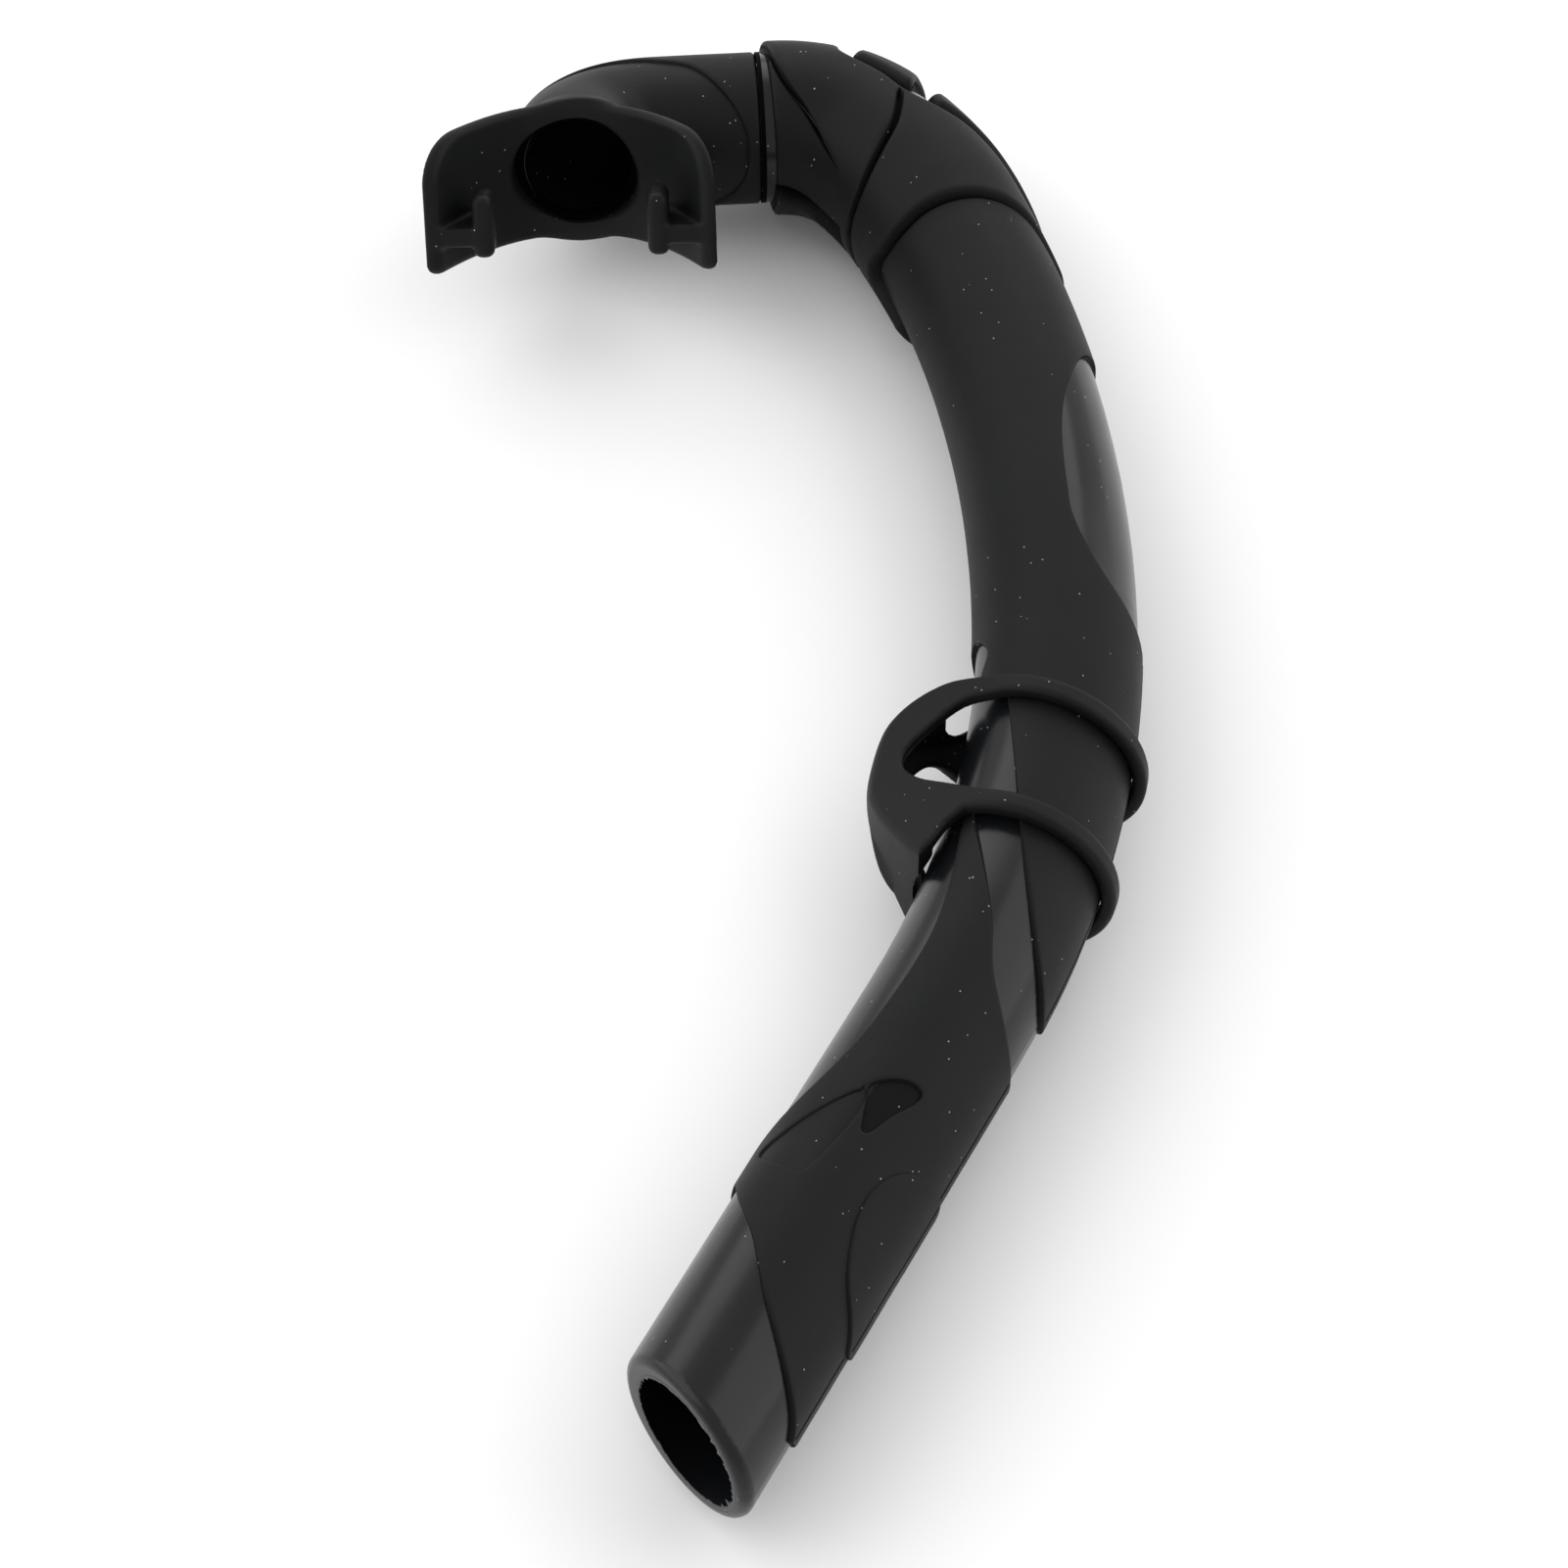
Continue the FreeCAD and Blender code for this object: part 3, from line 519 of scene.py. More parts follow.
# keeper
KEEPER_STATION = 180.0
KEEPER_BORE = 14.35
KEEPER_FIT = 14.1
KEEPER_WALL = 2.3
NOSE_REACH = 27.6
NOSE_ROUND = 4.5
RING_SLOPE = math.tan(math.radians(8.0))
RING_WIDTH = 3.8
HALF_LENGTH = 14.2
TEMPLE_RADIUS = BENDS[3][0]


def drop_field(x, y, radius, reach, nose):
    """Section of the keeper: a circle round the barrel drawn out to a rounded nose on the -X side."""
    hub = reach - nose
    lean = (radius - nose) / hub
    root = math.sqrt(1 - lean * lean)
    px, py = -x, np.abs(y)
    k = px * root - py * lean
    big = np.hypot(px, py) - radius
    small = np.hypot(px - hub, py) - nose
    side = px * lean + py * root - radius
    return np.where(k < 0, big, np.where(k > hub * root, small, side))


def keeper_lines():
    """Side views of the keeper, as (outward, along) points: its outline, its strap slot above and below,
    and the hollow inside its nose."""
    half, gap, slope = HALF_LENGTH, HALF_LENGTH - RING_WIDTH, RING_SLOPE

    def line(*stretches):
        out = []
        for points in stretches:
            out += [tuple(p) for p in curve([Vector(p) for p in points], step=1.2)[:-1]]
        return out + [stretches[-1][-1]]

    upper, lower = (-12.0, -half - 12.0 * slope), (-9.0, half - 9.0 * slope)
    tip = (-14.4, 21.6)
    fin = line([(40.0, -half + 40.0 * slope), upper],
               [upper, (-18.0, -half - 2.0), (-23.4, -half + 0.6), (-26.6, -9.0), (-27.4, -2.0), (-26.2, 5.0),
                (-22.0, 12.4), (-17.4, 18.3), tip],
               [tip, (-12.6, 18.6), (-11.4, 15.6), lower],
               [lower, (40.0, half + 40.0 * slope)])
    start, end = (-8.0, -gap - 8.0 * slope), (-7.0, gap - 7.0 * slope)
    window = line([(40.0, -gap + 40.0 * slope), start],
                  [start, (-14.0, -gap - 0.9), (-19.2, -6.6), (-21.6, -3.0), (-21.4, 0.2), (-18.6, 3.4),
                   (-13.0, 6.4), end],
                  [end, (40.0, gap + 40.0 * slope)])
    under_window = line([(40.0, -gap + 40.0 * slope), start],
                        [start, (-14.0, -gap - 0.9), (-19.2, -6.6), (-22.4, -3.0), (-24.0, 3.0), (-23.4, 8.6),
                         (-20.0, 11.6), (-13.0, 10.6), end],
                        [end, (40.0, gap + 40.0 * slope)])
    hollow = line([(19.0, -30.0), (-11.0, -30.0)],
                  [(-11.0, -30.0), (-14.5, -20.0), (-19.5, -14.0), (-23.0, -10.5), (-24.9, -6.5),
                   (-25.0, -1.0), (-23.7, 4.6), (-19.8, 11.2), (-15.4, 16.2), (-12.2, 19.4), (-10.0, 30.0)],
                  [(-10.0, 30.0), (19.0, 30.0)])
    return fin, window, under_window, hollow


off_fin, off_window, off_under_window, off_hollow = [
    plane_distance(line, (-31.0, -30.0), (19.0, 30.0), closed=True) for line in keeper_lines()]


def keeper_field(x, y, z):
    """The keeper in its own frame: X to the barrel's outer side, Z along the barrel."""
    ring_x = np.hypot(x + TEMPLE_RADIUS, z) - TEMPLE_RADIUS
    outer = drop_field(ring_x, y, KEEPER_BORE + KEEPER_WALL, NOSE_REACH, NOSE_ROUND)
    inner = drop_field(ring_x, y, KEEPER_FIT, NOSE_REACH - KEEPER_WALL, NOSE_ROUND - KEEPER_WALL)
    bore = np.hypot(ring_x, y) - KEEPER_FIT
    # below the nose the web runs both ways along the barrel, and the slot is turned over
    turned = np.clip((-y - 3.0) / 5.0, 0, 1) * np.clip(-(x + 3.0) / 7.0, 0, 1)
    fin, hollow = [(1 - turned) * off(x, z) + turned * np.minimum(off(x, z), off(x, -z))
                   for off in (off_fin, off_hollow)]
    window = (1 - turned) * off_window(x, z) + turned * off_under_window(x, -z)
    body = rounded(outer, fin, 1.1)
    body = blend_max(body, -np.maximum(inner, hollow), 0.7)
    body = blend_max(body, -bore, 0.3)
    return blend_max(body, -window, 1.0)


# ---------------------------------------------------------------- materials

class Nodes:
    """Short names for making a material's nodes."""

    def __init__(self, name):
        self.material = bpy.data.materials.new(name)
        self.material.use_nodes = True
        self.tree = self.material.node_tree
        self.shader = self.tree.nodes["Principled BSDF"]
        coords = self.tree.nodes.new("ShaderNodeTexCoord")
        self.where = coords.outputs["Object"]

    def link(self, a, b):
        self.tree.links.new(a, b)

    def scaled(self, x, y=None, z=None):
        """Object coordinates in units of 1/x metres along each axis."""
        node = self.tree.nodes.new("ShaderNodeMapping")
        node.inputs["Scale"].default_value = (x, y or x, z or x)
        self.link(self.where, node.inputs["Vector"])
        return node.outputs[0]

    def noise(self, scale, detail=3.0, rough=0.5, vector=None):
        node = self.tree.nodes.new("ShaderNodeTexNoise")
        node.inputs["Scale"].default_value = scale
        node.inputs["Detail"].default_value = detail
        node.inputs["Roughness"].default_value = rough
        self.link(vector or self.where, node.inputs["Vector"])
        return node.outputs["Fac"]

    def math(self, kind, a, b=0.0, clamp=False):
        node = self.tree.nodes.new("ShaderNodeMath")
        node.operation = kind
        node.use_clamp = clamp
        for socket, v in zip(node.inputs, (a, b)):
            if isinstance(v, bpy.types.NodeSocket):
                self.link(v, socket)
            else:
                socket.default_value = v
        return node.outputs[0]

    def span(self, value, a, b, low=0.0, high=1.0):
        node = self.tree.nodes.new("ShaderNodeMapRange")
        for key, v in (("From Min", a), ("From Max", b), ("To Min", low), ("To Max", high)):
            node.inputs[key].default_value = v
        self.link(value, node.inputs["Value"])
        return node.outputs[0]

    def mix(self, factor, a, b):
        node = self.tree.nodes.new("ShaderNodeMix")
        node.data_type = "RGBA"
        self.link(factor, node.inputs["Factor"])
        for socket, v in ((node.inputs["A"], a), (node.inputs["B"], b)):
            if isinstance(v, bpy.types.NodeSocket):
                self.link(v, socket)
            else:
                socket.default_value = (*v, 1.0)
        return node.outputs["Result"]

    def specks(self, cells, radius, share):
        """Small round grains of dust, one in some of the cells."""
        node = self.tree.nodes.new("ShaderNodeTexVoronoi")
        node.inputs["Scale"].default_value = cells
        self.link(self.where, node.inputs["Vector"])
        near = self.span(node.outputs["Distance"], radius, radius * 0.6)
        chosen = self.math("LESS_THAN", self.channel(node.outputs["Color"]), share)
        return self.math("MULTIPLY", near, chosen)

    def channel(self, colour):
        node = self.tree.nodes.new("ShaderNodeSeparateColor")
        self.link(colour, node.inputs[0])
        return node.outputs[0]

    def bump(self, heights):
        """Chained bumps: (height, strength, distance in metres)."""
        last = None
        for height, strength, distance in heights:
            node = self.tree.nodes.new("ShaderNodeBump")
            node.inputs["Strength"].default_value = strength
            node.inputs["Distance"].default_value = distance
            self.link(height, node.inputs["Height"])
            if last:
                self.link(last, node.inputs["Normal"])
            last = node.outputs[0]
        self.link(last, self.shader.inputs["Normal"])


DUST = (0.55, 0.55, 0.52)


def soft_rubber(name, colour, rough, level, grain=1.0):
    """Moulded soft skin: fine matt grain, faint mottling, rubbed patches and dust."""
    n = Nodes(name)
    n.shader.inputs["Specular IOR Level"].default_value = level
    cloud = n.noise(55.0, 4.0, 0.6)
    fine = n.noise(3200.0, 2.0, 0.7)
    rub = n.span(n.noise(24.0, 5.0, 0.65), 0.42, 0.72)
    pale = tuple(c * 1.35 for c in colour)
    dark = tuple(c * 0.78 for c in colour)
    base = n.mix(cloud, dark, pale)
    dust = n.math("MAXIMUM", n.specks(1050.0, 0.16, 0.045), n.specks(420.0, 0.075, 0.05), clamp=True)
    lint = n.math("MULTIPLY", dust, 0.62)
    n.link(n.mix(lint, base, DUST), n.shader.inputs["Base Color"])
    rubbed = n.math("MULTIPLY", rub, -0.09)
    clouded = n.math("ADD", n.math("MULTIPLY", cloud, 0.12), rough)
    n.link(n.math("ADD", rubbed, clouded),
           n.shader.inputs["Roughness"])
    n.bump([(cloud, 0.12, 0.0006), (fine, 0.30 * grain, 0.00008), (dust, 0.5, 0.0001)])
    return n.material


def gloss_plastic(name, colour, rough):
    """Injection moulded gloss plastic: faint flow waves, hairline scratches, dust."""
    n = Nodes(name)
    n.shader.inputs["Specular IOR Level"].default_value = 0.30
    waves = n.noise(38.0, 2.0, 0.4)
    drag = n.noise(1.0, 3.0, 0.6, n.scaled(900.0, 60.0, 900.0))
    haze = n.noise(90.0, 5.0, 0.6)
    scratches = n.noise(1.0, 1.0, 0.4, n.scaled(260.0, 40.0, 180.0))
    hair = n.span(n.math("ABSOLUTE", n.math("SUBTRACT", scratches, 0.5)), 0.0035, 0.0)
    hair = n.math("MULTIPLY", hair, n.span(n.noise(30.0, 2.0, 0.5), 0.58, 0.7))
    dust = n.math("MAXIMUM", n.specks(1050.0, 0.16, 0.035), n.specks(420.0, 0.075, 0.05), clamp=True)
    pale = tuple(c * 1.5 for c in colour)
    base = n.mix(haze, colour, pale)
    n.link(n.mix(n.math("MULTIPLY", dust, 0.6), base, DUST), n.shader.inputs["Base Color"])
    level = n.math("ADD", n.span(haze, 0.35, 0.75, rough, rough + 0.06), n.math("MULTIPLY", hair, 0.3))
    n.link(n.math("ADD", level, n.math("MULTIPLY", dust, 0.5)), n.shader.inputs["Roughness"])
    n.bump([(waves, 0.10, 0.0005), (drag, 0.02, 0.0001), (hair, 0.25, 0.00006), (dust, 0.5, 0.0001)])
    return n.material


SKIN = soft_rubber("soft_skin", (0.0058, 0.0061, 0.0066), 0.50, 0.12)
SILICONE = soft_rubber("mouth_silicone", (0.0054, 0.0057, 0.0061), 0.46, 0.13, 0.6)
KEEPER = soft_rubber("keeper_silicone", (0.0058, 0.0060, 0.0063), 0.50, 0.13, 0.7)
# painted shade: a near-black rubber laid where parts are dark only from shade (slit, swivel gap, bore,
# hairlines)
PAINTED_SHADE = soft_rubber("painted_shade_rubber", (0.0012, 0.0012, 0.0013), 0.60, 0.02)
# painted shade: a darker copy of the skin for the deepest part of the crescent recess
RECESS_SHADE = soft_rubber("painted_recess_shade_rubber", (0.0030, 0.0031, 0.0034), 0.55, 0.07)
# painted highlight: a light grey for the moulding flash on the open end's rim, which is black plastic
FLASH_HIGHLIGHT = soft_rubber("flash_highlight_rubber", (0.050, 0.051, 0.052), 0.45, 0.3)
GLOSS = gloss_plastic("gloss_barrel", (0.0035, 0.0038, 0.0045), 0.20)
ELBOW_PLASTIC = gloss_plastic("elbow_plastic", (0.005, 0.0052, 0.0056), 0.22)

for node, material in (("barrel", GLOSS), ("swivel_elbow", ELBOW_PLASTIC)):
    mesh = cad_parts[node].data
    mesh.materials.clear()
    mesh.materials.append(material)

# ---------------------------------------------------------------- skins

AROUND = 360.0      # a skin that goes all the way round is joined along angle 0, on the outside


def bump_at(value, middle, width):
    return math.exp(-((value - middle) / width) ** 2)


def under(points):
    """The same line on the underside of the barrel, in the other direction."""
    return [(s, AROUND - a) for s, a in reversed(points)]


def bend_top(s, a):
    """The sleeve swells on the inside of the bend and thins on the outside and at its arched end."""
    swell = 0.8 * bump_at(a, 190.0, 60.0) * bump_at(s, 40.0, 18.0)
    outer = 0.75 * (bump_at(a, 0.0, 55.0) + bump_at(a, AROUND, 55.0))
    thin = 0.7 * min(max((s - 44.0) / 22.0, 0.0), 1.0) * (1.0 - 0.6 * bump_at(a, 190.0, 60.0))
    return max(15.6 + swell - outer - thin, 14.6)


CREASE = [(1.1, 55), (4.3, 104), (13.5, 131), (24.4, 146), (28.9, 153), (33.3, 172), (34.6, 186), (35.0, 196)]
NECK_BORDER = [(42.0, 211), (34.0, 208.5), (24.0, 203), (14.0, 197), (5.0, 191.5), (1.8, 190)]
ARCH = [(60.4, 200.5), (56.6, 198.5), (53.4, 195), (50.6, 189), (50.0, 181), (50.4, 170), (51.3, 160),
        (51.8, 140), (51.4, 116), (51.6, 97), (52.3, 76), (54.0, 53), (56.4, 36), (60.6, 25), (65.4, 17)]
ARCH_UNDER = [(66.0, AROUND), (65.8, 340), (64.0, 300), (62.6, 262), (61.6, 225), (60.4, 200.5)]
CHANNEL = [(11.2, 0), (11.3, 40), (12.2, 60), (14.5, 67), (20.0, 69.5), (24.8, 70), (29.6, 61), (34.8, 45),
           (40.6, 35), (46.2, 29.5), (52.0, 21), (56.0, 10), (57.4, 0)]

skin("bend_sleeve", [
    ([(0.45, 0), (0.55, 40), (1.1, 55)], True),
    (CREASE, True),
    ([(35.0, 196), (37.8, 203), (41.4, 209)], True),
    ([(41.4, 209), (42.0, 211)], True),
    (NECK_BORDER, True),
    ([(1.8, 190), (1.4, 230), (0.55, 310), (0.45, AROUND)], True),
    ([(0.45, AROUND), (11.2, AROUND)], False),
    (under(CHANNEL)[::-1], True),
    ([(57.4, AROUND), (66.0, AROUND)], False),
    (ARCH_UNDER, True),
    (ARCH, True),
    ([(65.4, 17), (66.0, 8), (66.0, 0)], True),
    ([(66.0, 0), (57.4, 0)], False),
    (CHANNEL[::-1], True),
    ([(11.2, 0), (0.45, 0)], False),
], bend_top, SKIN, edge=0.85, inset=0.12, replaces=("bend_sleeve",), holes=[
    [(25.2, 78), (30.4, 99), (32.9, 114), (35.4, 132), (37.6, 152), (38.7, 176), (40.8, 196), (44.4, 210),
     (42.4, 196), (40.0, 178), (38.3, 152), (36.0, 132), (33.4, 114), (30.8, 99), (25.2, 78)],
])
# painted shade: a near-black strip under the sleeve's slit, so the slit reads as a dark crease
skin("slit_painted_shade", [
    ([(24.0, 74), (28.8, 99), (33.6, 132), (36.4, 160), (38.6, 192), (44.8, 214)], True),
    ([(44.8, 214), (45.0, 198), (42.4, 176), (37.8, 132), (32.6, 99), (26.0, 74), (24.0, 74)], True),
], lambda s, a: 14.5, PAINTED_SHADE, edge=0.3, inset=0.0)

skin("neck_skin", [
    (CREASE, True),
    ([(35.0, 196), (33.4, 202)], True),
    ([(33.4, 202), (24.0, 196), (14.0, 190), (4.6, 185), (2.0, 184)], True),
    ([(2.0, 184), (1.9, 150), (1.7, 119), (1.4, 86), (1.1, 55)], True),
], lambda s, a: 14.35 + 0.25 * bump_at(a, 150, 40), SKIN, edge=0.6, inset=0.1, replaces=("neck_skin",))

PAD_SMALL = [(12.8, 0), (12.9, 42), (14.0, 61), (15.6, 64.5), (23.0, 65), (24.0, 63), (23.9, 58), (21.6, 40),
             (21.3, 0)]
PAD_LONG = [(25.2, 0), (25.5, 44), (27.2, 52.5), (29.2, 55.5), (31.0, 50), (34.8, 38.5), (40.4, 29),
            (46.0, 23.5), (51.0, 15), (54.2, 6), (55.0, 0)]


def mirrored(points):
    """A closed line from its upper half."""
    return points + [(s, -a) for s, a in reversed(points[:-1])]


skin("outer_pad_small", [(mirrored(PAD_SMALL), True)], lambda s, a: 15.75, SKIN, edge=1.2, inset=0.0,
     replaces=("outer_pad_small",))
skin("outer_pad_long", [(mirrored(PAD_LONG), True)],
     lambda s, a: 15.65 - 0.5 * min(max((s - 38.0) / 18.0, 0.0), 1.0), SKIN, edge=1.2, inset=0.0,
     replaces=("outer_pad_long",))

# the middle skin: a lens window on the outside, a sliver of gloss inside, a tongue at its far end
SKIN_START, WINDOW_START, WINDOW_END, TONGUE_TIP = 66.3, 86.0, 147.0, 219.4
WINDOW_EDGE = [(WINDOW_START, 0), (86.8, 22), (89.6, 42), (97.7, 64), (105.0, 74), (112.5, 78.5),
               (121.0, 79.5), (128.0, 77.5), (138.4, 59), (143.8, 34), (146.4, 12), (WINDOW_END, 0)]
TONGUE = [(TONGUE_TIP, 0), (219.2, 9), (217.4, 25), (213.2, 45), (204.8, 69), (192.8, 91), (179.0, 109),
          (165.4, 123.5)]
SLIVER = [(163.4, 149), (158.6, 151), (154.2, 146), (150.4, 156), (148.0, 170), (147.4, 180)]

skin("barrel_skin", [
    ([(SKIN_START, 0), (SKIN_START, 8), (65.7, 17)], True),
    ([(s + 0.3, a) for s, a in reversed(ARCH)], True),
    ([(s + 0.3, a) for s, a in reversed(ARCH_UNDER)], True),
    ([(SKIN_START, AROUND), (WINDOW_START, AROUND)], False),
    (under(WINDOW_EDGE)[::-1], True),
    ([(WINDOW_END, AROUND), (TONGUE_TIP, AROUND)], False),
    (under(TONGUE)[::-1], True),
    ([(165.4, 236.5), (163.4, 211)], True),
    (under(SLIVER)[::-1], True),
    (SLIVER[::-1], True),
    ([(163.4, 149), (165.4, 123.5)], True),
    (TONGUE[::-1], True),
    ([(TONGUE_TIP, 0), (WINDOW_END, 0)], False),
    (WINDOW_EDGE[::-1], True),
    ([(WINDOW_START, 0), (SKIN_START, 0)], False),
], lambda s, a: SKIN_R, SKIN, edge=0.5, wave=0.04, replaces=("barrel_skin",))

# the upper skin, with a crescent recess in two pockets and a ring round the inside of the curve
UPPER_TIP, SWOOP_TIP = 230.2, 304.4
SWOOP = [(SWOOP_TIP, 0), (303.4, 9), (299.9, 38), (292.4, 75), (281.9, 109), (276.0, 134), (270.4, 162),
         (270.2, 180)]
UPPER_LEFT = [(263.0, 180), (262.2, 164), (257.6, 148), (252.4, 134), (247.5, 125), (241.6, 118),
              (234.0, 114.5), (226.6, 113), (218.1, 114), (207.4, 120), (196.2, 129), (192.0, 128.5),
              (190.8, 126)]
UPPER_RIGHT = [(190.8, 126), (203.2, 100), (213.0, 79), (221.9, 60), (227.8, 31), (229.8, 10),
               (UPPER_TIP, 0)]

skin("upper_skin", [
    (SWOOP, True),
    (under(SWOOP), True),
    ([(SWOOP_TIP, AROUND), (UPPER_TIP, AROUND)], False),
    (under(UPPER_RIGHT), True),
    (under(UPPER_LEFT), True),
    (UPPER_LEFT, True),
    (UPPER_RIGHT, True),
    ([(UPPER_TIP, 0), (SWOOP_TIP, 0)], False),
], lambda s, a: SKIN_R, SKIN, edge=0.5, wave=0.04, replaces=("upper_skin",), holes=[
    [(265.6, 142), (262.4, 131), (258.6, 118), (255.0, 106), (252.2, 96), (251.8, 93.5), (254.6, 91),
     (258.0, 91.5), (263.0, 95), (268.4, 101), (268.8, 104), (268.0, 118), (266.9, 132), (265.6, 142)],
    [(250.4, 90.5), (248.6, 84), (247.4, 76), (246.9, 68), (247.4, 62), (249.0, 62.5), (252.8, 70),
     (258.2, 79.5), (256.0, 83.5), (252.8, 87.5), (250.4, 90.5)],
])


def crescent_depth(s, a):
    """The recess's floor, deepest in its head."""
    return 13.25 + 0.4 * min(max((a - 82.0) / 14.0, 0.0), 1.0)


skin("crescent_floor", [
    ([(267.2, 147), (260.0, 129), (252.0, 107), (246.4, 86), (245.2, 68), (246.6, 58)], True),
    ([(246.6, 58), (250.4, 59.5), (254.6, 68), (260.4, 80), (265.0, 91), (270.6, 101)], True),
    ([(270.6, 101), (269.8, 120), (268.4, 138), (267.2, 147)], True),
], crescent_depth, SKIN, edge=0.1, inset=0.0)
# the head of the recess is floored in a darker rubber: painted shade for the deep pocket
skin("crescent_head", [
    ([(250.6, 92), (247.6, 84), (246.2, 76), (245.8, 68), (246.4, 60.5)], True),
    ([(246.4, 60.5), (249.6, 60.5), (254.0, 69), (259.8, 79.5)], True),
    ([(259.8, 79.5), (257.0, 85), (253.4, 89.5), (250.6, 92)], True),
], lambda s, a: 13.45, RECESS_SHADE, edge=0.1, inset=0.0)

TEARDROP = [(287.0, 0), (285.4, 14), (281.1, 38), (275.8, 50.5), (270.6, 56.5), (265.8, 56.5), (261.6, 50),
            (258.6, 38.5), (256.6, 20), (255.9, 0)]
skin("teardrop_panel", [(mirrored(TEARDROP), True)], lambda s, a: 14.5, SKIN, base=SKIN_R - 0.03, edge=0.45,
     inset=0.0, replaces=("teardrop_panel",))

# hairline where the halves of the mould met, along the outside of the curve: a raised strip whose near-black
# colour is painted shade, so it reads as a dark line
PARTING = (("middle", 148.0, 218.4, SKIN_R), ("upper", 231.2, 255.6, SKIN_R), ("panel", 256.8, 286.0, 14.5),
           ("tip", 287.4, 303.4, SKIN_R))
HAIR = 1.2      # half the hairline's width, in degrees round the barrel
for name, start, end, radius in PARTING:
    corners = [(start, -HAIR), (end, -HAIR), (end, HAIR), (start, HAIR)]
    skin("parting_line_" + name, [([a, b], True) for a, b in zip(corners, corners[1:] + corners[:1])],
         lambda s, a, radius=radius: radius + 0.07, PAINTED_SHADE, base=radius - 0.1, edge=0.12, inset=0.0, wave=0.04)

RIM_SLANT = math.radians(25.0)


def ring_faces(count, rows):
    """Faces of a closed band made of sections with the same number of points."""
    faces = []
    for i in range(count):
        j = (i + 1) % count
        for k in range(rows):
            m = (k + 1) % rows
            faces.append((rows * i + k, rows * i + m, rows * j + m, rows * j + k))
    return faces


def rim_point(turn, radius, lift=0.0):
    """A point on the slanted open end; turn 0 is the outside of the curve."""
    point, heading = centre(BARREL_LENGTH)
    outward = Vector((-math.sin(heading), math.cos(heading), 0.0))
    ahead = Vector((math.cos(heading), math.sin(heading), 0.0))
    side = radius * math.cos(turn)
    up = Vector((0, 0, radius * math.sin(turn)))
    return point + outward * side + ahead * (side * math.tan(RIM_SLANT) + lift) + up


def add_rim_flash():
    """Ragged moulding flash round the edge of the open end's bore; its light grey colour is a painted
    highlight on the rim.
    """
    count = 240
    points = []
    for i in range(count):
        turn = math.tau * i / count
        jag = max(noise.noise(Vector((math.cos(turn) * 9.0, math.sin(turn) * 9.0, 3.0))), 0.0)
        fine = max(noise.noise(Vector((math.cos(turn) * 34.0, math.sin(turn) * 34.0, 8.0))), 0.0)
        inner = BORE_R - 0.16 - 0.9 * jag - 0.7 * fine
        points += [rim_point(turn, r, lift) for r, lift in
                   ((BORE_R + 0.1, -0.25), (BORE_R + 0.3, 0.03), (inner, 0.0), (inner, -0.14))]
    add_piece("rim_flash", points, ring_faces(count, 4), FLASH_HIGHLIGHT, "tube")


add_rim_flash()

# ---------------------------------------------------------------- elbow cover

COVER_EDGE = [(37.0, 0), (36.2, 20), (33.6, 42), (29.5, 60), (24.5, 75), (18.8, 87), (12.8, 100), (7.2, 129),
              (4.4, 150), (3.2, 165), (2.9, 180)]

skin("elbow_cover", [
    ([(0.5, 0), (0.5, 180), (0.5, AROUND)], True),
    ([(0.5, AROUND), (37.0, AROUND)], False),
    (under(COVER_EDGE)[::-1], True),
    (COVER_EDGE[::-1], True),
    ([(37.0, 0), (0.5, 0)], False),
], lambda s, a: 13.4, SKIN, base=12.6, edge=0.7, inset=0.0, place=on_elbow, body="mouth",
    replaces=("elbow_cover",))


def add_swivel_gap_shade():
    """Painted shade: a near-black ring laid in the narrow gap of the swivel, where the gap is dark."""
    count = 96
    profile = ((-0.40, 12.7), (-0.40, 13.38), (0.36, 13.38), (0.36, 12.7))
    points = []
    for i in range(count):
        turn = math.tau * i / count
        points += [ELBOW @ Vector((x, math.cos(turn) * r, math.sin(turn) * r)) for x, r in profile]
    add_piece("swivel_gap_shade", points, ring_faces(count, len(profile)), PAINTED_SHADE, "tube")


add_swivel_gap_shade()

# ---------------------------------------------------------------- mouthpiece and keeper

cell = 0.45
points, faces = polygonise(mouth_field, (1.5, -14.5, -15.0), (64.0, 43.0, 15.0), cell)
add_piece("mouthpiece", [ELBOW @ Vector(p) for p in points], faces, SILICONE, "mouth",
          ("mouthpiece",), sharp=60.0)


def add_bore_shade():
    """Painted shade: a near-black funnel laid inside the mouthpiece's bore, from the flange down past the
    nipple's end.
    """
    count = 72
    across, up = BORE_WIDTH / 2 - 0.12, BORE_HEIGHT / 2 - 0.12
    c, s = math.cos(FLANGE_TURN), math.sin(FLANGE_TURN)

    def oval(turn, depth, grow):
        z = math.sin(turn) * (up + grow)
        w = math.cos(turn) * (across + grow) + 0.1 * z
        x = ELBOW_REACH + FLANGE_SHIFT + w * c + depth * s
        return Vector((x, MOUTH_REACH - 0.6 - w * s + depth * c, z))

    def round_at(turn, radius, y):
        return Vector((ELBOW_REACH + math.cos(turn) * radius, y, math.sin(turn) * radius))

    points = []
    for i in range(count):
        turn = math.tau * i / count
        points += [oval(turn, 1.3, 0.0), oval(turn, -1.3, 0.0), round_at(turn, 9.3, 14.06),
                   round_at(turn, 9.3, 12.2), round_at(turn, 9.5, 12.2), round_at(turn, 9.6, 13.9),
                   oval(turn, 1.3, 0.3)]
    faces = ring_faces(count, len(points) // count)
    add_piece("bore_shade", [ELBOW @ p for p in points], faces, PAINTED_SHADE, "mouth")


add_bore_shade()

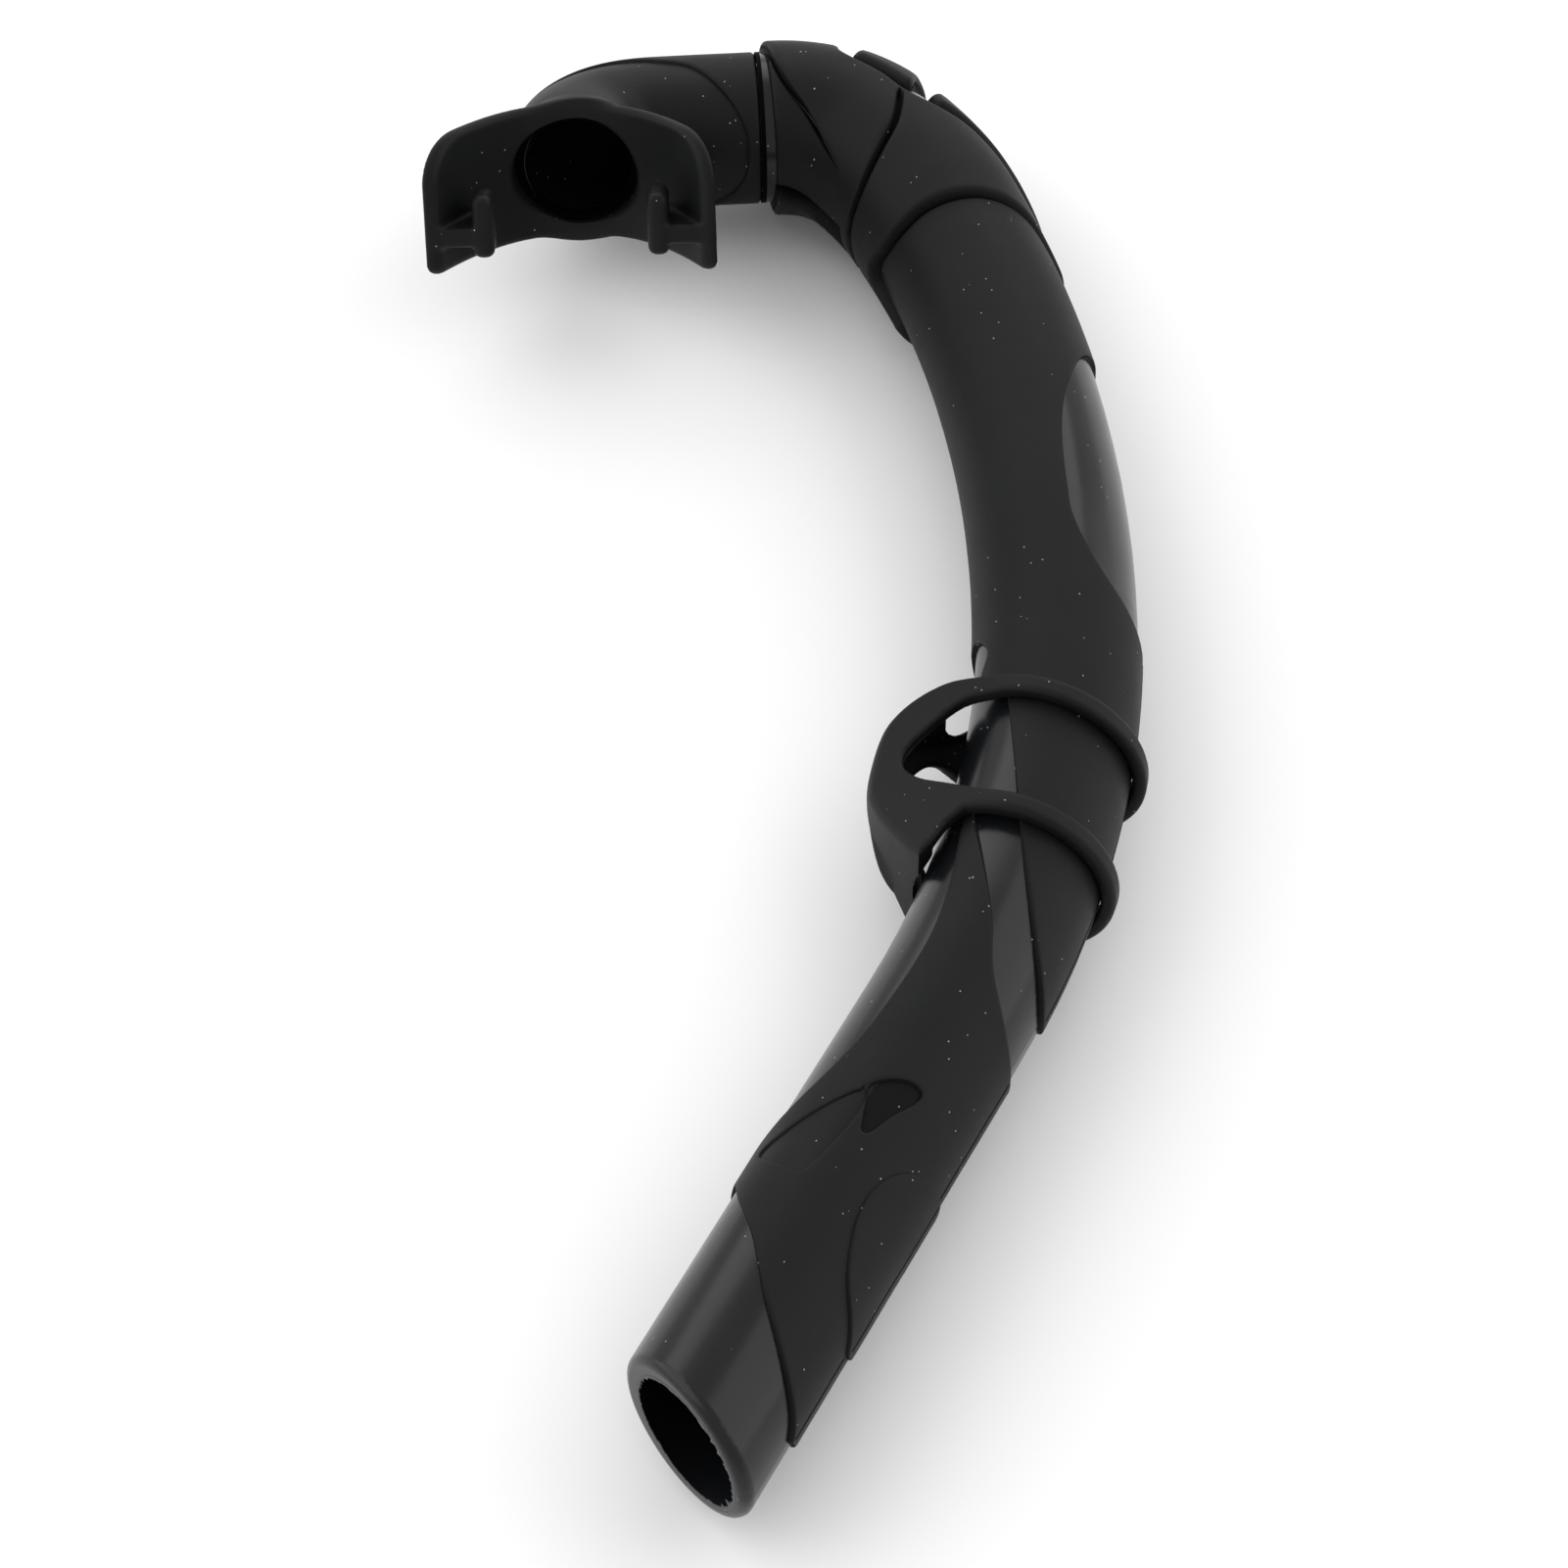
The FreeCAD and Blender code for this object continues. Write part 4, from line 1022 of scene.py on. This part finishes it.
keeper_centre, keeper_heading = centre(KEEPER_STATION)
outward = Vector((-math.sin(keeper_heading), math.cos(keeper_heading), 0.0))
ahead = Vector((math.cos(keeper_heading), math.sin(keeper_heading), 0.0))
keeper_place = Matrix((outward, Vector((0, 0, 1)), ahead)).transposed().to_4x4()
keeper_place.translation = keeper_centre
points, faces = polygonise(keeper_field, (-30.0, -18.0, -27.0), (18.0, 18.0, 27.0), cell)
add_piece("keeper", [keeper_place @ Vector(p) for p in points], faces, KEEPER, "strap_keeper",
          ("keeper",), sharp=60.0)

# ---------------------------------------------------------------- floor, light, camera

def add_floor():
    bm = bmesh.new()
    bmesh.ops.create_grid(bm, x_segments=8, y_segments=8, size=6.0)
    mesh = bpy.data.meshes.new("floor")
    bm.to_mesh(mesh)
    bm.free()
    n = Nodes("floor_paper")
    n.link(n.mix(n.noise(3.0, 2.0, 0.5), (0.86, 0.86, 0.86), (0.9, 0.9, 0.9)), n.shader.inputs["Base Color"])
    n.shader.inputs["Roughness"].default_value = 0.9
    n.shader.inputs["Specular IOR Level"].default_value = 0.1
    mesh.materials.append(n.material)
    floor = bpy.data.objects.new("floor", mesh)
    bpy.context.scene.collection.objects.link(floor)
    floor.location = (0.0, 0.0, -0.0002)


def add_light(name, place, aim, size, power):
    light = bpy.data.lights.new(name, "AREA")
    light.shape = "RECTANGLE"
    light.size, light.size_y = size
    light.energy = power
    lamp = bpy.data.objects.new(name, light)
    bpy.context.scene.collection.objects.link(lamp)
    lamp.location = place
    lamp.rotation_euler = (Vector(aim) - Vector(place)).to_track_quat("-Z", "Y").to_euler()


add_floor()
add_light("left_softbox", (-1.1, 0.1, 0.75), (0, 0, 0), (1.6, 1.6), 9.0)
add_light("right_softbox", (1.1, 0.2, 0.6), (0, 0, 0), (1.6, 1.6), 8.0)
add_light("back_softbox", (0.0, 1.3, 0.9), (0, 0.05, 0), (1.8, 1.0), 8.0)

world = bpy.data.worlds.new("studio")
world.use_nodes = True
back = world.node_tree.nodes["Background"]
back.inputs["Color"].default_value = (1.0, 1.0, 1.0, 1.0)
back.inputs["Strength"].default_value = 0.8
bpy.context.scene.world = world
bpy.context.scene.view_settings.view_transform = "Standard"

CAMERA_DISTANCE = 0.850
CAMERA_RISE = math.radians(50.0)
camera = bpy.data.cameras.new("camera")
camera.lens = 122.1
camera.sensor_width = 36.0
eye = bpy.data.objects.new("camera", camera)
bpy.context.scene.collection.objects.link(eye)
behind = Vector((0.0, -math.cos(CAMERA_RISE), math.sin(CAMERA_RISE)))
eye.location = SHIFT * MM + behind * CAMERA_DISTANCE
eye.rotation_euler = (-behind).to_track_quat("-Z", "Y").to_euler()
bpy.context.scene.camera = eye
